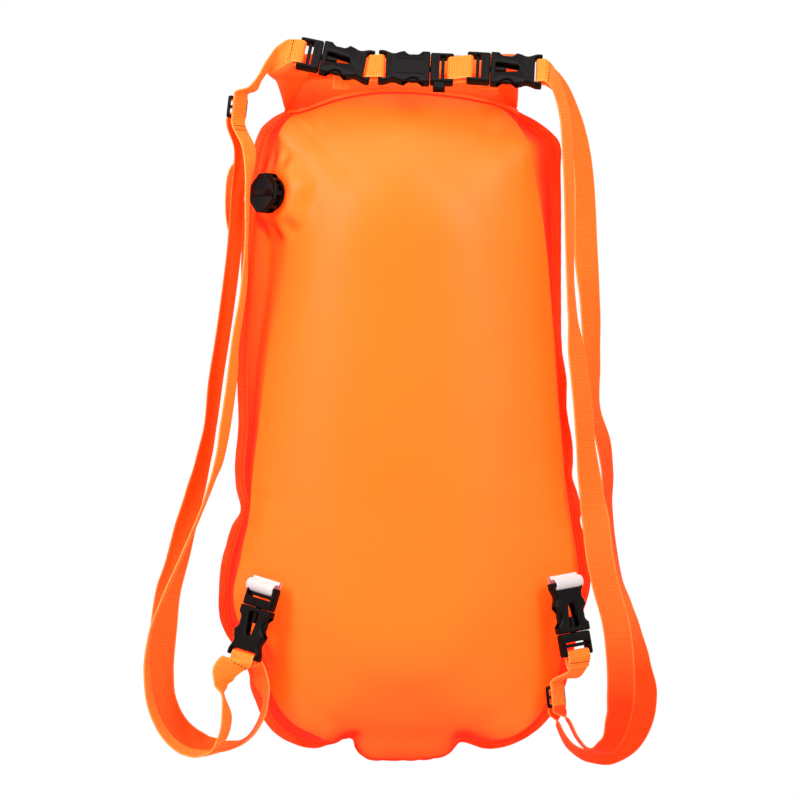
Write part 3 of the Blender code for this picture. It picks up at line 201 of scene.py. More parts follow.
LEFT_FRONT_PX = (
    (242.5, 149, 255, 149), (245.5, 189, 249.5, 189), (245.3, 240, 247.5, 240), (240.8, 289, 246, 289),
    (231.5, 344, 238.3, 344), (226.8, 380, 236.5, 380), (220, 426, 230, 426), (215, 460, 223, 460),
    (209, 483, 213.5, 483), (201, 508, 203, 509), (176, 566, 178, 567), (160, 602, 162, 603),
    (149, 633, 151, 634), (144, 674, 149, 674), (149, 711, 156, 709), (162, 737, 168, 732),
    (178, 752, 182, 745), (194, 757, 196, 750), (210, 752, 213, 749), (217.5, 738, 226.5, 738),
    (221.8, 718, 231.3, 718), (222, 694.5, 223.5, 694), (214.5, 684, 227, 686), (213.5, 666, 234, 679),
    (221, 656, 243, 671),
)
LEFT_FRONT_DEPTH_SHARES = (
    0.08, 0.02, 0.04, 0.10, 0.16, 0.20, 0.22, 0.23, 0.22, 0.20, 0.18, 0.17,
    0.15, 0.13, 0.12, 0.11, 0.10, 0.09, 0.08, 0.07, 0.05, 0.03, 0.01, -0.01, -0.03,
)
LEFT_REAR_PX = (
    (234, 149, 245, 149), (230.5, 195, 243.5, 195), (227.2, 242, 241, 242), (221.8, 288, 235.7, 288),
    (215, 337, 228.7, 337), (208, 380, 222, 380), (203.5, 426, 215.5, 426), (195, 460, 210, 460),
    (184, 495, 203, 495), (173, 529, 195, 529), (165, 560, 188, 560), (154.5, 592, 180, 592),
    (149, 631, 176, 631), (145, 674, 173, 671), (149, 710, 176, 698), (162, 737, 186, 718),
    (178, 752, 199, 730), (197, 757, 211, 738), (222, 752, 228, 742), (242, 744.5, 242, 740.5),
    (256, 732, 251.5, 732), (267.5, 706, 263, 703), (269, 681, 254, 681), (262, 662, 252, 668),
)
LEFT_REAR_DEPTH_SHARES = (
    0.38, 0.50, 0.56, 0.59, 0.59, 0.60, 0.60, 0.60, 0.60, 0.60, 0.60, 0.59,
    0.58, 0.56, 0.54, 0.52, 0.49, 0.45, 0.38, 0.30, 0.22, 0.15, 0.09, 0.05,
)
RIGHT_FRONT_PX = (
    (557, 104, 568, 104), (562.8, 160, 573.5, 160), (565, 220, 574.5, 220), (566.8, 280, 574.3, 280),
    (568, 312, 577, 312), (569, 361, 587, 361), (573, 400, 592, 400), (576, 440, 595, 440),
    (579, 489, 603, 489), (582, 522, 610, 522), (586, 560, 615, 560), (592, 590, 622, 590),
    (599, 623, 633, 623), (605, 655, 635, 655), (607, 690, 635, 690), (606, 716, 630, 724),
    (600, 740, 614, 752), (589, 748, 590, 752), (579, 738, 577.5, 740.5), (569, 719, 567, 721),
)
RIGHT_FRONT_DEPTH_SHARES = (
    0.16, 0.20, 0.22, 0.23, 0.23, 0.22, 0.20, 0.18, 0.15, 0.13, 0.10, 0.08,
    0.06, 0.05, 0.05, 0.06, 0.08, 0.11, 0.14, 0.18,
)
RIGHT_REAR_PX = (
    (563, 112, 580, 110), (573, 160, 592.5, 160), (575, 256, 598.8, 256), (581, 308, 601, 308),
    (584, 360, 601, 360), (588, 408, 601, 408), (596, 440, 611, 440), (602, 472, 614, 472),
    (604, 506, 613, 506), (609, 540, 616, 540), (616, 580, 623, 580), (622, 605, 632, 603),
    (630, 630, 641, 628), (633, 664, 651, 662), (634, 694, 658, 694), (630, 715, 653, 726),
    (616, 737, 638, 751), (603, 745, 614, 765), (590, 751, 589, 763), (572, 743, 569, 750),
    (560, 724, 557, 727),
)
RIGHT_REAR_DEPTH_SHARES = (
    0.46, 0.52, 0.54, 0.55, 0.54, 0.54, 0.54, 0.53, 0.52, 0.51, 0.50, 0.49,
    0.48, 0.46, 0.45, 0.44, 0.43, 0.42, 0.38, 0.32, 0.25,
)
# Painted shade that reddens the webbing: down each strap's long run, then round its bottom loop
LEFT_SHADES = {
    "front": ((0.0, 0.0, 0.05, 0.1, 0.2, 0.3), (0.25, 0.1, 0.0)),
    "rear": ((0.6, 0.78, 0.82, 0.82, 0.78, 0.7, 0.76, 0.86, 0.8), (0.7, 0.5, 0.4)),
}
RIGHT_SHADES = {
    "front": ((0.05, 0.2, 0.35, 0.45, 0.55, 0.65, 1.0, 1.0), (1.0, 0.9, 0.5)),
    "rear": ((0.35, 0.4, 0.5, 0.82, 0.8, 0.4, 0.9, 0.96, 0.96), (0.96, 0.9, 0.7)),
}
# Painted shade of the short pieces of webbing and of the tabs on the roll
SHORT_SHADES = (0.15,)
ROLL_TAB_SHADES = (0.55, 0.3)
RIGHT_LOWER_PX = ((568, 671, 581, 676),)
RIGHT_LOWER_DEPTH_SHARES = (0.06,)
HANDLE_PX = (
    (251.5, 154, 257, 156), (241, 156, 246.5, 161), (229, 167, 237, 171), (224.5, 197, 233.5, 197),
    (227, 228, 235, 224), (234, 242, 240, 236), (243, 249, 246, 243),
)
ROLL_TABS_PX = (342, 490.5)
ROLL_TAB_SHARES = (0.80, 0, -0.55)
NOTCHES_PX = ((239.7, 511), (226, 637), (351.5, 740), (460.5, 744), (582.5, 512), (573.5, 470), (250, 690))
PLEATS_PX = (
    ((300, 106), (275, 130)), ((306, 104), (326, 142)), ((503, 104), (521, 129)), ((494, 100), (484, 136)),
)
FEMALE_TAIL_SHARES = ((0.60, 0.92), (0.67, 0.82), (0.74, 0.82), (0.83, 0.93), (0.89, 1), (1, 1))
MALE_OUTLINE_SHARES = ((0, 1), (0.55, 1), (0.88, 1), (1, 0.97))
WINDOW_SHARES = ((0.10, 0.34), (0.55, 0.17))

# Camera and studio
FRAME_PX = 800
CAMERA_DISTANCE = 12.0
CAMERA_REACH = 100
SENSOR = 0.036
FLOOR_HALF = 8
FLOOR_Z = -0.95
LAMP_TARGET = (0, 0.05, -0.28)
LAMPS = (
    ("left_box", (-1.20, -1.15, 0.55), (0.5, 1.1), 16.5),
    ("right_box", (0.90, -1.35, 0.50), (0.45, 1.1), 12),
    ("top_box", (0, -0.75, 1.25), (1.2, 0.8), 7),
)
AMBIENT = 0.12
FLOOR_SEEN_SHARE = 0.85

# Fineness of the meshes
OUTLINE_COUNT = 600
OUTLINE_STEPS = 10
RIM_RINGS = 6
WALL_RINGS = 12
FACE_RINGS = 40
SPINE_STEPS = 60
ROLL_TURN_STEPS = 30
ROLL_END_STEPS = 5
ROLL_REAR_STEPS = 16
ROLL_SECTION_STEPS = 22
CREASE_STEPS = 8
COLLAR_LINE_STEPS = 24
COLLAR_LEVELS = 24
COLLAR_COLUMNS = 96
POUCH_LEVELS = 40
POUCH_SIDES = 96
RUN_STEPS = 9
WRAP_STEPS = 16
FLAT_STEPS = 8
EDGE_STEPS = 4
PAD_STEPS = 32
TURNED_SIDES = 72

# How the chamber swells from its welded rim
VISIBLE_RIM = 0.0083
RIM_REACH_SHARE = 0.8
RIM_RIPPLE = 0.0007
RIM_RIPPLE_LENGTH = 0.031
SIDE_RISE_SHARE = 0.47
BOTTOM_RISE_SHARE = 0.20
TOP_RISE_SHARE = 0.14
TOP_FACE_DROP = 0.0055
WALL_STRAIGHT_SHARE = 0.55
WALL_PUCKER_SHARE = 0.3
CROWN_POWER = 2.8
RING_CROWDING_POWER = 1.7
SPINE_SHARE = 0.10
# How steep the cloth turns before painted shade reddens it, and how much more painted shade its underside
# gets
SHADE_STEEPNESS_START = 0.87
UNDERSIDE_SHADE = 0.35

# Folds in the chamber's cloth
PUCKER = 0.0016
NOTCH_SPREAD = 0.022
FINE_FOLDS_PER_METRE = 55
BROAD_FOLDS_PER_METRE = 16
PLEAT = 0.0018
PLEAT_WIDTH = 0.003
PLEAT_SPREAD_SHARE = 0.10
PLEAT_START = 0.002
VALVE_FLAT_RADIUS = 0.020
VALVE_FLAT_FADE = 0.022
VALVE_REACH = 0.03
PATCH_RADIUS = 0.0245
PATCH_EDGE = 0.0004
PATCH_RISE = 0.0006
GATHERS = 9
GATHER_RISE = 0.0012
GATHER_RADIUS = 0.034
GATHER_WIDTH = 0.007

# Rolled mouth, collar and pouch
ROLL_TURNS = 2.75
ROLL_CORE_HALF = (0.0026, 0.0062)
ROLL_WOBBLE = 0.0005
ROLL_DENT = 0.0004
ROLL_ROUND_POWER = 0.75
# Painted shade on the roll, at its foot and at its top
ROLL_PAINTED_SHADE_SHARES = (0.45, 0.1)
COLLAR_SLACK = 0.0011
COLLAR_OPENS = 0.004
# Painted shade on the neck, at its foot and at its top
COLLAR_PAINTED_SHADE_SHARES = (0.62, 0.18)
BEND_SHARE = 0.13
BEND_PART_SHARE = 0.03
POUCH_TOP_SHARE = 0.80
POUCH_FOOT_SHARE = 0.42
POUCH_SAG = 0.0012
POUCH_WALL_SHARE = 0.006

# Webbing, its adjusters and the white strips
WHITE_WIDTH = 0.0305
WHITE_RADIUS = 0.0052
WHITE_RISE = 0.0080
WHITE_SHIFT = 0.0020
WHITE_CLEARANCE = 0.0006
WHITE_ROLL_DEG = (-110, 181, 10)
GLIDE_DIP = 0.0003
GLIDE_SIDE_ROOM = 0.0006
SEWN_TAIL = 0.013
SEWN_TAIL_OUT = 0.0022
SEWN_SEAM = 0.031
GLIDE_SEAMS = (0.016, 0.020)
LOOP_SEAM = 0.020
HOOK_SEAM = 0.018
HOOK_STIFF = 0.055
LEFT_BLEND = 0.12
RIGHT_BLEND = 0.20
LEFT_SEWN_SHARE = 0.62
RIGHT_SEWN_SHARE = 0.6

# Stitches
THREAD_RADIUS = 0.00035
THREAD_LIFT = 0.0001
STITCH_INSET_SHARE = 0.75
STITCH_PITCH = 0.0042
STITCH_LENGTH = 0.0027
SEAM_PITCH = 0.0030
SEAM_STITCH = 0.0023
SEAM_THREAD = 1.5 * THREAD_RADIUS
SEAM_INSET = 0.0022

# Roundings and reliefs of the mouldings
MALE_ARM_INSIDE = 0.0131
FINE_EDGE = 0.0004
RIB_EDGE = 0.00035
RIB_OUT = 0.0004
RIB_IN = 0.0006
RIB_WIDTH = 0.0014
FEMALE_EDGE = 0.0013
FEMALE_CORNER = 0.0014
WINDOW_CORNER = 0.0015
MALE_EDGE = 0.0014
MALE_CORNER = 0.0022
MIDDLE_BAR_EXTRA = 0.0004
MIDDLE_BAR_LEDGE = 0.0006
MIDDLE_BAR_EDGE = 0.0006
TONGUE_EDGE = 0.0005
FEMALE_RIB_HALF = 0.0100
FEMALE_RIB_PITCH = 0.0030
FEMALE_RIB_BACK = 0.0022
RAIL_SPAN = (0.004, 0.030)
RAILS_LOW = (-0.0088, 0.0074)
RAIL_OUT = 0.0005
SCOOP_ARC_DEG = (210, 330)
MALE_RIB_HALF = 0.0115
MALE_RIB_BACK = 0.0062
WHISTLE_EDGE = 0.0010
LIP = 0.0005
LIP_DEPTH = 0.0018
LIP_EDGE = 0.0006
GRIP_RIDGES = 6
GRIP_RISE = 0.00016
GLIDE_CORNER = 0.0028
GLIDE_WINDOW_CORNER = 0.0009

# The valve's flange and cap
CAP_SIDES = 8
CAP_WIDER = 1.04
FLANGE_CHAMFER = ((0.0008, 0), (0.0002, 0.0003), (0, 0.0009))
CAP_CORNER = 0.0022
CAP_EDGE = 0.0010
POCKET_ASIDE = 0.0044
POCKET_HALF = 0.0025
POCKET_DEPTH = 0.0042
POCKET_FLOOR = 0.0013
POCKET_ROOF = 0.0015
POCKET_EDGE = 0.0005
DISH_SHARE = 0.80
DISH_DEPTH = 0.003
DISH_OUT = 0.0010
DISH_CORNER = 0.003
DISH_EDGE = 0.0008
CAP_BAR_HALF = 0.0031
CAP_BAR_FOOT = 0.003
CAP_BAR_OUT = 0.0012
CAP_BAR_EDGE = 0.0009
CAP_HOLLOW_HALF = 0.009
CAP_HOLLOW_DEPTH = 0.0035
PLUG_REACH = 0.005

TURN = 2 * math.pi

pieces = bpy.data.collections.new("swim_buoy_dressed")
bpy.context.scene.collection.children.link(pieces)


def photo_x(px):
    """Metres to the right, from a column of the photograph."""
    return (px - CENTRE_PX) * BAG_WIDTH / BAG_WIDTH_PX


def photo_z(py):
    """Metres up, from a row of the photograph."""
    return (ROW_PY - py) * BAG_LENGTH / BAG_LENGTH_PX


def photo_point(px, py, y):
    return Vector((photo_x(px), y, photo_z(py)))


def frame_matrix(origin, along, facing):
    """Local X runs along, local -Y is the facing side, local Z is the width."""
    x_axis = along.normalized()
    y_axis = -(facing - facing.dot(x_axis) * x_axis).normalized()
    z_axis = x_axis.cross(y_axis)
    matrix = Matrix((x_axis, y_axis, z_axis)).transposed().to_4x4()
    matrix.translation = origin
    return matrix


def smooth_step(value):
    """0 below nought, 1 above one, smooth between."""
    value = min(max(value, 0.0), 1.0)
    return value * value * (3 - 2 * value)


def swell(values):
    """0 far below nought, 1 far above, smooth between, for an array."""
    return 1 / (1 + np.exp(-np.clip(values, -60, 60)))


class Value:
    """A shader socket that takes part in sums."""

    def __init__(self, finish, socket):
        self.finish = finish
        self.socket = socket

    def __add__(self, other):
        return self.finish.maths("ADD", self, other)

    def __sub__(self, other):
        return self.finish.maths("SUBTRACT", self, other)

    def __rsub__(self, other):
        return self.finish.maths("SUBTRACT", other, self)

    def __mul__(self, other):
        return self.finish.maths("MULTIPLY", self, other)

    def sine(self):
        return self.finish.maths("SINE", self)

    def size(self):
        return self.finish.maths("ABSOLUTE", self)

    __radd__ = __add__
    __rmul__ = __mul__


class Finish:
    """One material, written as sums of its nodes' sockets."""

    def __init__(self, name, fixed):
        self.material = bpy.data.materials.new(name)
        self.material.use_nodes = True
        self.tree = self.material.node_tree
        self.shader = self.tree.nodes["Principled BSDF"]
        for label, value in fixed.items():
            self.shader.inputs[label].default_value = value

    def node(self, kind, settings=None, inputs=None, output=0):
        """Any node: its settings first, then the values or links of its sockets."""
        made = self.tree.nodes.new(kind)
        for label, value in (settings or {}).items():
            setattr(made, label, value)
        for label, value in (inputs or {}).items():
            if isinstance(value, Value):
                self.tree.links.new(value.socket, made.inputs[label])
            else:
                made.inputs[label].default_value = value
        return Value(self, made.outputs[output])

    def maths(self, operation, *values):
        return self.node("ShaderNodeMath", {"operation": operation}, dict(enumerate(values)))

    def place(self):
        """The object coordinates, as a vector in metres."""
        return self.node("ShaderNodeTexCoord", output="Object")

    def parts(self, vector, count=3):
        """The first numbers of a vector, each by itself."""
        return [self.node("ShaderNodeSeparateXYZ", {}, {0: vector}, axis) for axis in range(count)]

    def weave(self):
        """Across and along a strip, in metres."""
        return self.parts(self.node("ShaderNodeUVMap", {"uv_map": "weave"}), 2)

    def waves(self, value, pitch):
        """A sine that repeats at every pitch."""
        return (value * (TURN / pitch)).sine()

    def attribute(self, name):
        return self.node("ShaderNodeAttribute", {"attribute_name": name}, output="Fac")

    def grain(self, vector, scale, detail=3.0, roughness=0.5):
        inputs = {"Vector": vector, "Scale": scale, "Detail": detail, "Roughness": roughness}
        return self.node("ShaderNodeTexNoise", {}, inputs)

    def step(self, value, low, high):
        """0 below low, 1 above high, smooth between."""
        settings = {"interpolation_type": "SMOOTHSTEP"}
        return self.node("ShaderNodeMapRange", settings, {0: value, 1: low, 2: high, 3: 0.0, 4: 1.0})

    def mix(self, factor, first, second):
        return self.node("ShaderNodeMix", {"data_type": "RGBA"}, {0: factor, 6: first, 7: second}, 2)

    def join(self, **links):
        for label, value in links.items():
            self.tree.links.new(value.socket, self.shader.inputs[label.replace("_", " ")])

    def bump(self, height, strength):
        """Height in millimetres."""
        inputs = {"Strength": strength, "Distance": 0.001, "Height": height}
        self.join(Normal=self.node("ShaderNodeBump", {}, inputs))


# Painted red glows of the cloths, which keep them red where they lie in shade, and the pitch of their weaves
# in metres
FABRIC_PAINTED_GLOW = (1.0, 0.012, 0.0, 1)
WEBBING_PAINTED_GLOW = (1.0, 0.04, 0.0, 1)
CLOTH_THREADS = 0.0007
RIM_EMBOSSING = 0.0016
LINER_THREADS = 0.0009
WEBBING_RIBS = 0.0021
WEBBING_TWILL = 0.0021
SELVEDGE = (0.0106, 0.0122)
THREAD_TWIST = 0.0006
TAPE_THREADS = 0.0012


def coated_fabric():
    """Coated nylon in a fluorescent orange, with painted shade that turns it a deep red where it is steep or
    faces down, a redder painted shade on the weld, and a painted red glow.
    """
    finish = Finish("coated_fabric", {
        # The emission is a painted red glow that keeps the cloth red in shade
        "Specular IOR Level": 0.36, "Emission Strength": 0.75, "Emission Color": FABRIC_PAINTED_GLOW,
        "Coat Weight": 0.0})
    vector = finish.place()
    x, _, z = finish.parts(vector)
    cloud, soft = finish.grain(vector, 7.0, 4.0), finish.grain(vector, 26.0, 3.0)
    fine = finish.grain(vector, 420.0, 2.0)
    # wall is the painted shade of steep and downward-facing cloth; flange marks the weld
    wall, flange = finish.attribute("wall"), finish.attribute("flange")
    face = finish.mix(cloud, (1.0, 0.255, 0.012, 1), (1.0, 0.300, 0.020, 1))
    # Painted shade turns the steep and downward-facing cloth a deep red
    face = finish.mix(wall * 1.15, face, (1.0, 0.022, 0.001, 1))
    # Painted shade on the welded rim, which turns it a redder orange
    face = finish.mix(flange * 0.9, face, (1.0, 0.080, 0.010, 1))
    threads = finish.waves(x, CLOTH_THREADS) * finish.waves(z, CLOTH_THREADS)
    weld = finish.waves(x + z, RIM_EMBOSSING) * finish.waves(x - z, RIM_EMBOSSING)
    finish.join(Base_Color=face, Roughness=0.34 + 0.12 * cloud + 0.06 * fine + 0.45 * wall + 0.2 * flange)
    finish.bump(threads * 0.012 + weld * flange * 0.05 + soft * 0.9 + fine * 0.02, 0.55)
    return finish.material


def liner_fabric():
    """The pouch's thinner, duller fabric, with a weaker painted red glow."""
    finish = Finish("liner_fabric", {
        "Specular IOR Level": 0.4, "Emission Strength": 0.3, "Emission Color": FABRIC_PAINTED_GLOW})
    vector = finish.place()
    x, _, z = finish.parts(vector)
    cloud = finish.grain(vector, 12.0, 3.0)
    finish.join(Base_Color=finish.mix(cloud, (1.0, 0.16, 0.02, 1), (1.0, 0.24, 0.04, 1)),
                Roughness=0.5 + 0.15 * cloud)
    finish.bump(finish.waves(x, LINER_THREADS) * finish.waves(z, LINER_THREADS) * 0.03, 0.5)
    return finish.material


def webbing():
    """Woven polyester strap: ribs across and a herringbone along, with painted shade in its grooves, painted
    highlights on its edges, painted shade that reddens it, and a painted red glow.
    """
    finish = Finish("webbing", {
        # The emission is a painted red glow that keeps the webbing red in shade
        "Specular IOR Level": 0.2, "Emission Strength": 0.62, "Emission Color": WEBBING_PAINTED_GLOW,
        "Sheen Weight": 0.06, "Sheen Roughness": 0.4})
    across, along = finish.weave()
    vector = finish.place()
    shade = finish.attribute("shade")
    off_centre = (across - WEB_WIDTH / 2).size()
    # The edge bands: where the selvedge's weave lies and where a painted highlight goes
    edge = finish.step(off_centre, *SELVEDGE)
    rib = finish.waves(along, WEBBING_RIBS)
    twill = finish.waves(along + off_centre, WEBBING_TWILL)
    cloud, fibre = finish.grain(vector, 30.0, 3.0), finish.grain(vector, 900.0, 2.0)
    lit = finish.mix(cloud, (1.0, 0.49, 0.055, 1), (1.0, 0.56, 0.080, 1))
    # Painted shade in the grooves between the ribs and along the twill
    lit = finish.mix(0.27 - 0.10 * twill - 0.27 * rib, lit, (0.92, 0.13, 0.006, 1))
    # Painted shade turns the webbing a deep red
    lit = finish.mix(shade, lit, (1.0, 0.030, 0.002, 1))
    # Painted highlight along the edges, fainter where painted shade lies
    lit = finish.mix(edge * (0.7 - 0.45 * shade), lit, (1.0, 0.62, 0.16, 1))
    finish.join(Base_Color=lit, Roughness=0.62 + 0.2 * fibre)
    finish.bump(rib * 0.12 + twill * 0.06 * (1 - edge) + fibre * 0.05, 0.8)
    return finish.material


def thread():
    """Bonded sewing thread, in a dark red that is partly its own colour and partly painted shade of the
    stitch holes.
    """
    finish = Finish("thread", {"Specular IOR Level": 0.2, "Emission Strength": 0.0})
    vector = finish.place()
    fibre = finish.grain(vector, 1600.0, 2.0)
    finish.join(Base_Color=finish.mix(fibre, (0.26, 0.014, 0.003, 1), (0.42, 0.032, 0.006, 1)),
                Roughness=0.5 + 0.2 * fibre)
    x, y, z = finish.parts(vector)
    finish.bump(finish.waves(x + y + z, THREAD_TWIST) * 0.03, 0.6)
    return finish.material


def black_plastic():
    """Moulded acetal: near black, satin, with a faint mould grain and slightly rubbed high spots."""
    finish = Finish("black_plastic", {"Specular IOR Level": 0.11})
    vector = finish.place()
    grain, rub = finish.grain(vector, 2200.0, 3.0), finish.grain(vector, 60.0, 4.0, 0.6)
    finish.join(Base_Color=finish.mix(rub, (0.003, 0.0018, 0.0018, 1), (0.008, 0.005, 0.005, 1)),
                Roughness=0.18 + 0.12 * rub + 0.05 * grain)
    finish.bump(grain * 0.012 + rub * 0.02, 0.5)
    return finish.material


def white_strip():
    """White coated tape with a faint weave showing through, red on its underside, and a faint painted white
    glow.
    """
    # The emission is a faint painted white glow
    finish = Finish("white_coated_strip", {
        "Specular IOR Level": 0.4, "Emission Color": (1, 0.96, 0.94, 1), "Emission Strength": 0.12})
    across, along = finish.weave()
    outside = finish.attribute("outside")
    cloud = finish.grain(finish.place(), 80.0, 3.0)
    grid = finish.waves(across, TAPE_THREADS) * finish.waves(along, TAPE_THREADS)
    top = finish.mix(cloud, (0.88, 0.84, 0.82, 1), (0.95, 0.93, 0.92, 1))
    finish.join(Base_Color=finish.mix(outside, (1.0, 0.03, 0.01, 1), top), Roughness=0.30 + 0.18 * cloud)
    finish.bump(grid * 0.03 + cloud * 0.15, 0.6)
    return finish.material


def grained(name, specular, scale, dark, light, roughness, strength):
    """A plain moulded material: two near shades and a grain."""
    finish = Finish(name, {"Specular IOR Level": specular})
    grain = finish.grain(finish.place(), scale, 3.0)
    colours = [(shade[0], shade[1], shade[2], 1) for shade in (dark, light)]
    finish.join(Base_Color=finish.mix(grain, *colours), Roughness=roughness + 0.2 * grain)
    finish.bump(grain * 0.03, strength)
    return finish.material


def placed(name, mesh, material, body=None, nodes=(), span=None):
    """A finished piece, which rides on a body, or, when it has a span between two bodies, stays fixed where
    it lies with its place baked into its mesh.
    """
    if not mesh.materials:
        mesh.materials.append(material)
    piece = bpy.data.objects.new(name, mesh)
    pieces.objects.link(piece)
    if span:
        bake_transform(piece)
    else:
        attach(piece, body)
    if nodes:
        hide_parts(*nodes)
    return piece


def mesh_from_bmesh(name, bm, sharp_deg=35):
    """A smooth mesh whose edges stay sharp past an angle."""
    mesh = bpy.data.meshes.new(name)
    bm.to_mesh(mesh)
    bm.free()
    mesh.shade_smooth()
    mesh.set_sharp_from_angle(angle=math.radians(sharp_deg))
    return mesh


def lofted(name, rings, closed_line=False, caps=True, sharp_deg=35):
    """Rings of points, each a closed loop with as many points, joined into a tube."""
    bm = bmesh.new()
    rows = [[bm.verts.new(place) for place in ring] for ring in rings]
    pairs = list(zip(rows, rows[1:]))
    if closed_line:
        pairs.append((rows[-1], rows[0]))
    count = len(rows[0])
    for first, second in pairs:
        for i in range(count):
            j = (i + 1) % count
            bm.faces.new((first[i], first[j], second[j], second[i]))
    if caps and not closed_line:
        bm.faces.new(rows[0][::-1])
        bm.faces.new(rows[-1])
    bmesh.ops.recalc_face_normals(bm, faces=bm.faces)
    return mesh_from_bmesh(name, bm, sharp_deg)


def smooth_run(points, steps, closed=False):
    """Points along a smooth run, each with its segment and its share of that segment."""
    count = len(points)
    last = count if closed else count - 1
    heads = [(points[(i + 1) % count] - points[i]).normalized() for i in range(last)]
    if closed:
        tangents = [(heads[i - 1] + heads[i]) / 2 for i in range(count)]
    else:
        tangents = [(heads[max(i - 1, 0)] + heads[min(i, last - 1)]) / 2 for i in range(count)]
    result = []
    for i in range(last):
        j = (i + 1) % count
        span = (points[j] - points[i]).length
        for step in range(steps):
            t = step / steps
            place = (points[i].lerp(points[j], t * t * (3 - 2 * t))
                     + tangents[i] * span * t * (1 - t) ** 2 - tangents[j] * span * t * t * (1 - t))
            result.append((place, i, t))
    if not closed:
        result.append((points[-1], last - 1, 1.0))
    return result


def crease_share(x):
    """How open the bag's top is at x: 0 at the corners of the crease, 1 in the middle."""
    left = photo_x(RIM_LEFT_PX[0][0])
    right = photo_x(RIM_RIGHT_PX[-1][0])
    across = (2 * x - left - right) / (right - left)
    return max(0.0, 1 - across * across)


def rim_marks():
    """The rim's measured points with the fold above each, anticlockwise from the front.

    Each is x, z, half opening, the fold's x and z, and the share of the depth that the wall climbs."""
    marks = []
    for rim, face, rise in ((RIM_LEFT_PX, FACE_LEFT_PX, SIDE_RISE_SHARE),
                            (RIM_BOTTOM_PX, FACE_BOTTOM_PX, BOTTOM_RISE_SHARE),
                            (RIM_RIGHT_PX, FACE_RIGHT_PX, SIDE_RISE_SHARE)):
        for (px, py), (qx, qy) in zip(rim, face):
            marks.append((photo_x(px), photo_z(py), 0.0, photo_x(qx), photo_z(qy), rise))
    for px, py in CREASE_PX:
        x, z = photo_x(px), photo_z(py)
        marks.append((x, z, CREASE_DEPTH * crease_share(x), x, z - TOP_FACE_DROP, TOP_RISE_SHARE))
    return marks


def even_outline():
    """The rim's marks made into evenly spaced rows, and the rim's whole length."""
    marks = rim_marks()
    rims = smooth_run([Vector((mark[0], 0, mark[1])) for mark in marks], OUTLINE_STEPS, True)
    folds = smooth_run([Vector((mark[3], 0, mark[4])) for mark in marks], OUTLINE_STEPS, True)
    dense = []
    for (place, i, t), (fold, _, _) in zip(rims, folds):
        here, there = marks[i], marks[(i + 1) % len(marks)]
        opening = here[2] + (there[2] - here[2]) * t
        dense.append((place.x, place.z, opening, fold.x, fold.z, here[5] + (there[5] - here[5]) * t))
    rows = np.array(dense + dense[:1])
    spans = np.hypot(np.diff(rows[:, 0]), np.diff(rows[:, 1]))
    lengths = np.concatenate([[0.0], np.cumsum(spans)])
    targets = np.linspace(0, lengths[-1], OUTLINE_COUNT, endpoint=False)
    return np.stack([np.interp(targets, lengths, rows[:, k]) for k in range(6)], 1), lengths[-1]


def rim_inward(outline):
    """For each row of the outline, the step from the rim's edge to the foot of the side wall."""
    toward = outline[:, 3:5] - outline[:, :2]
    reach = np.linalg.norm(toward, axis=1)
    width = np.minimum(np.where(outline[:, 2] > 0, TOP_RIM, VISIBLE_RIM), RIM_REACH_SHARE * reach)
    return toward * (width / reach)[:, None]


def relaxed(rows, reach, passes):
    """A closed outline smoothed round its whole length."""
    for _ in range(passes):
        rows = (np.roll(rows, reach, 0) + 2 * rows + np.roll(rows, -reach, 0)) / 4
    return rows


def puckers(outline, length):
    """For each point round the rim: how deep the radial folds are there, and where it lies in them."""
    spots = np.arange(OUTLINE_COUNT) * length / OUTLINE_COUNT
    depth = np.zeros(OUTLINE_COUNT)
    for px, py in NOTCHES_PX:
        nearest = np.argmin(np.hypot(outline[:, 0] - photo_x(px), outline[:, 1] - photo_z(py)))
        away = np.abs(spots - spots[nearest])
        away = np.minimum(away, length - away)
        depth += np.exp(-(away / NOTCH_SPREAD) ** 2)
    fine = np.array([noise.noise(Vector((spot * FINE_FOLDS_PER_METRE, 0.3, 1.7))) for spot in spots])
    broad = np.array([noise.noise(Vector((spot * BROAD_FOLDS_PER_METRE, 4.1, 2.3))) for spot in spots])
    return depth, fine, broad


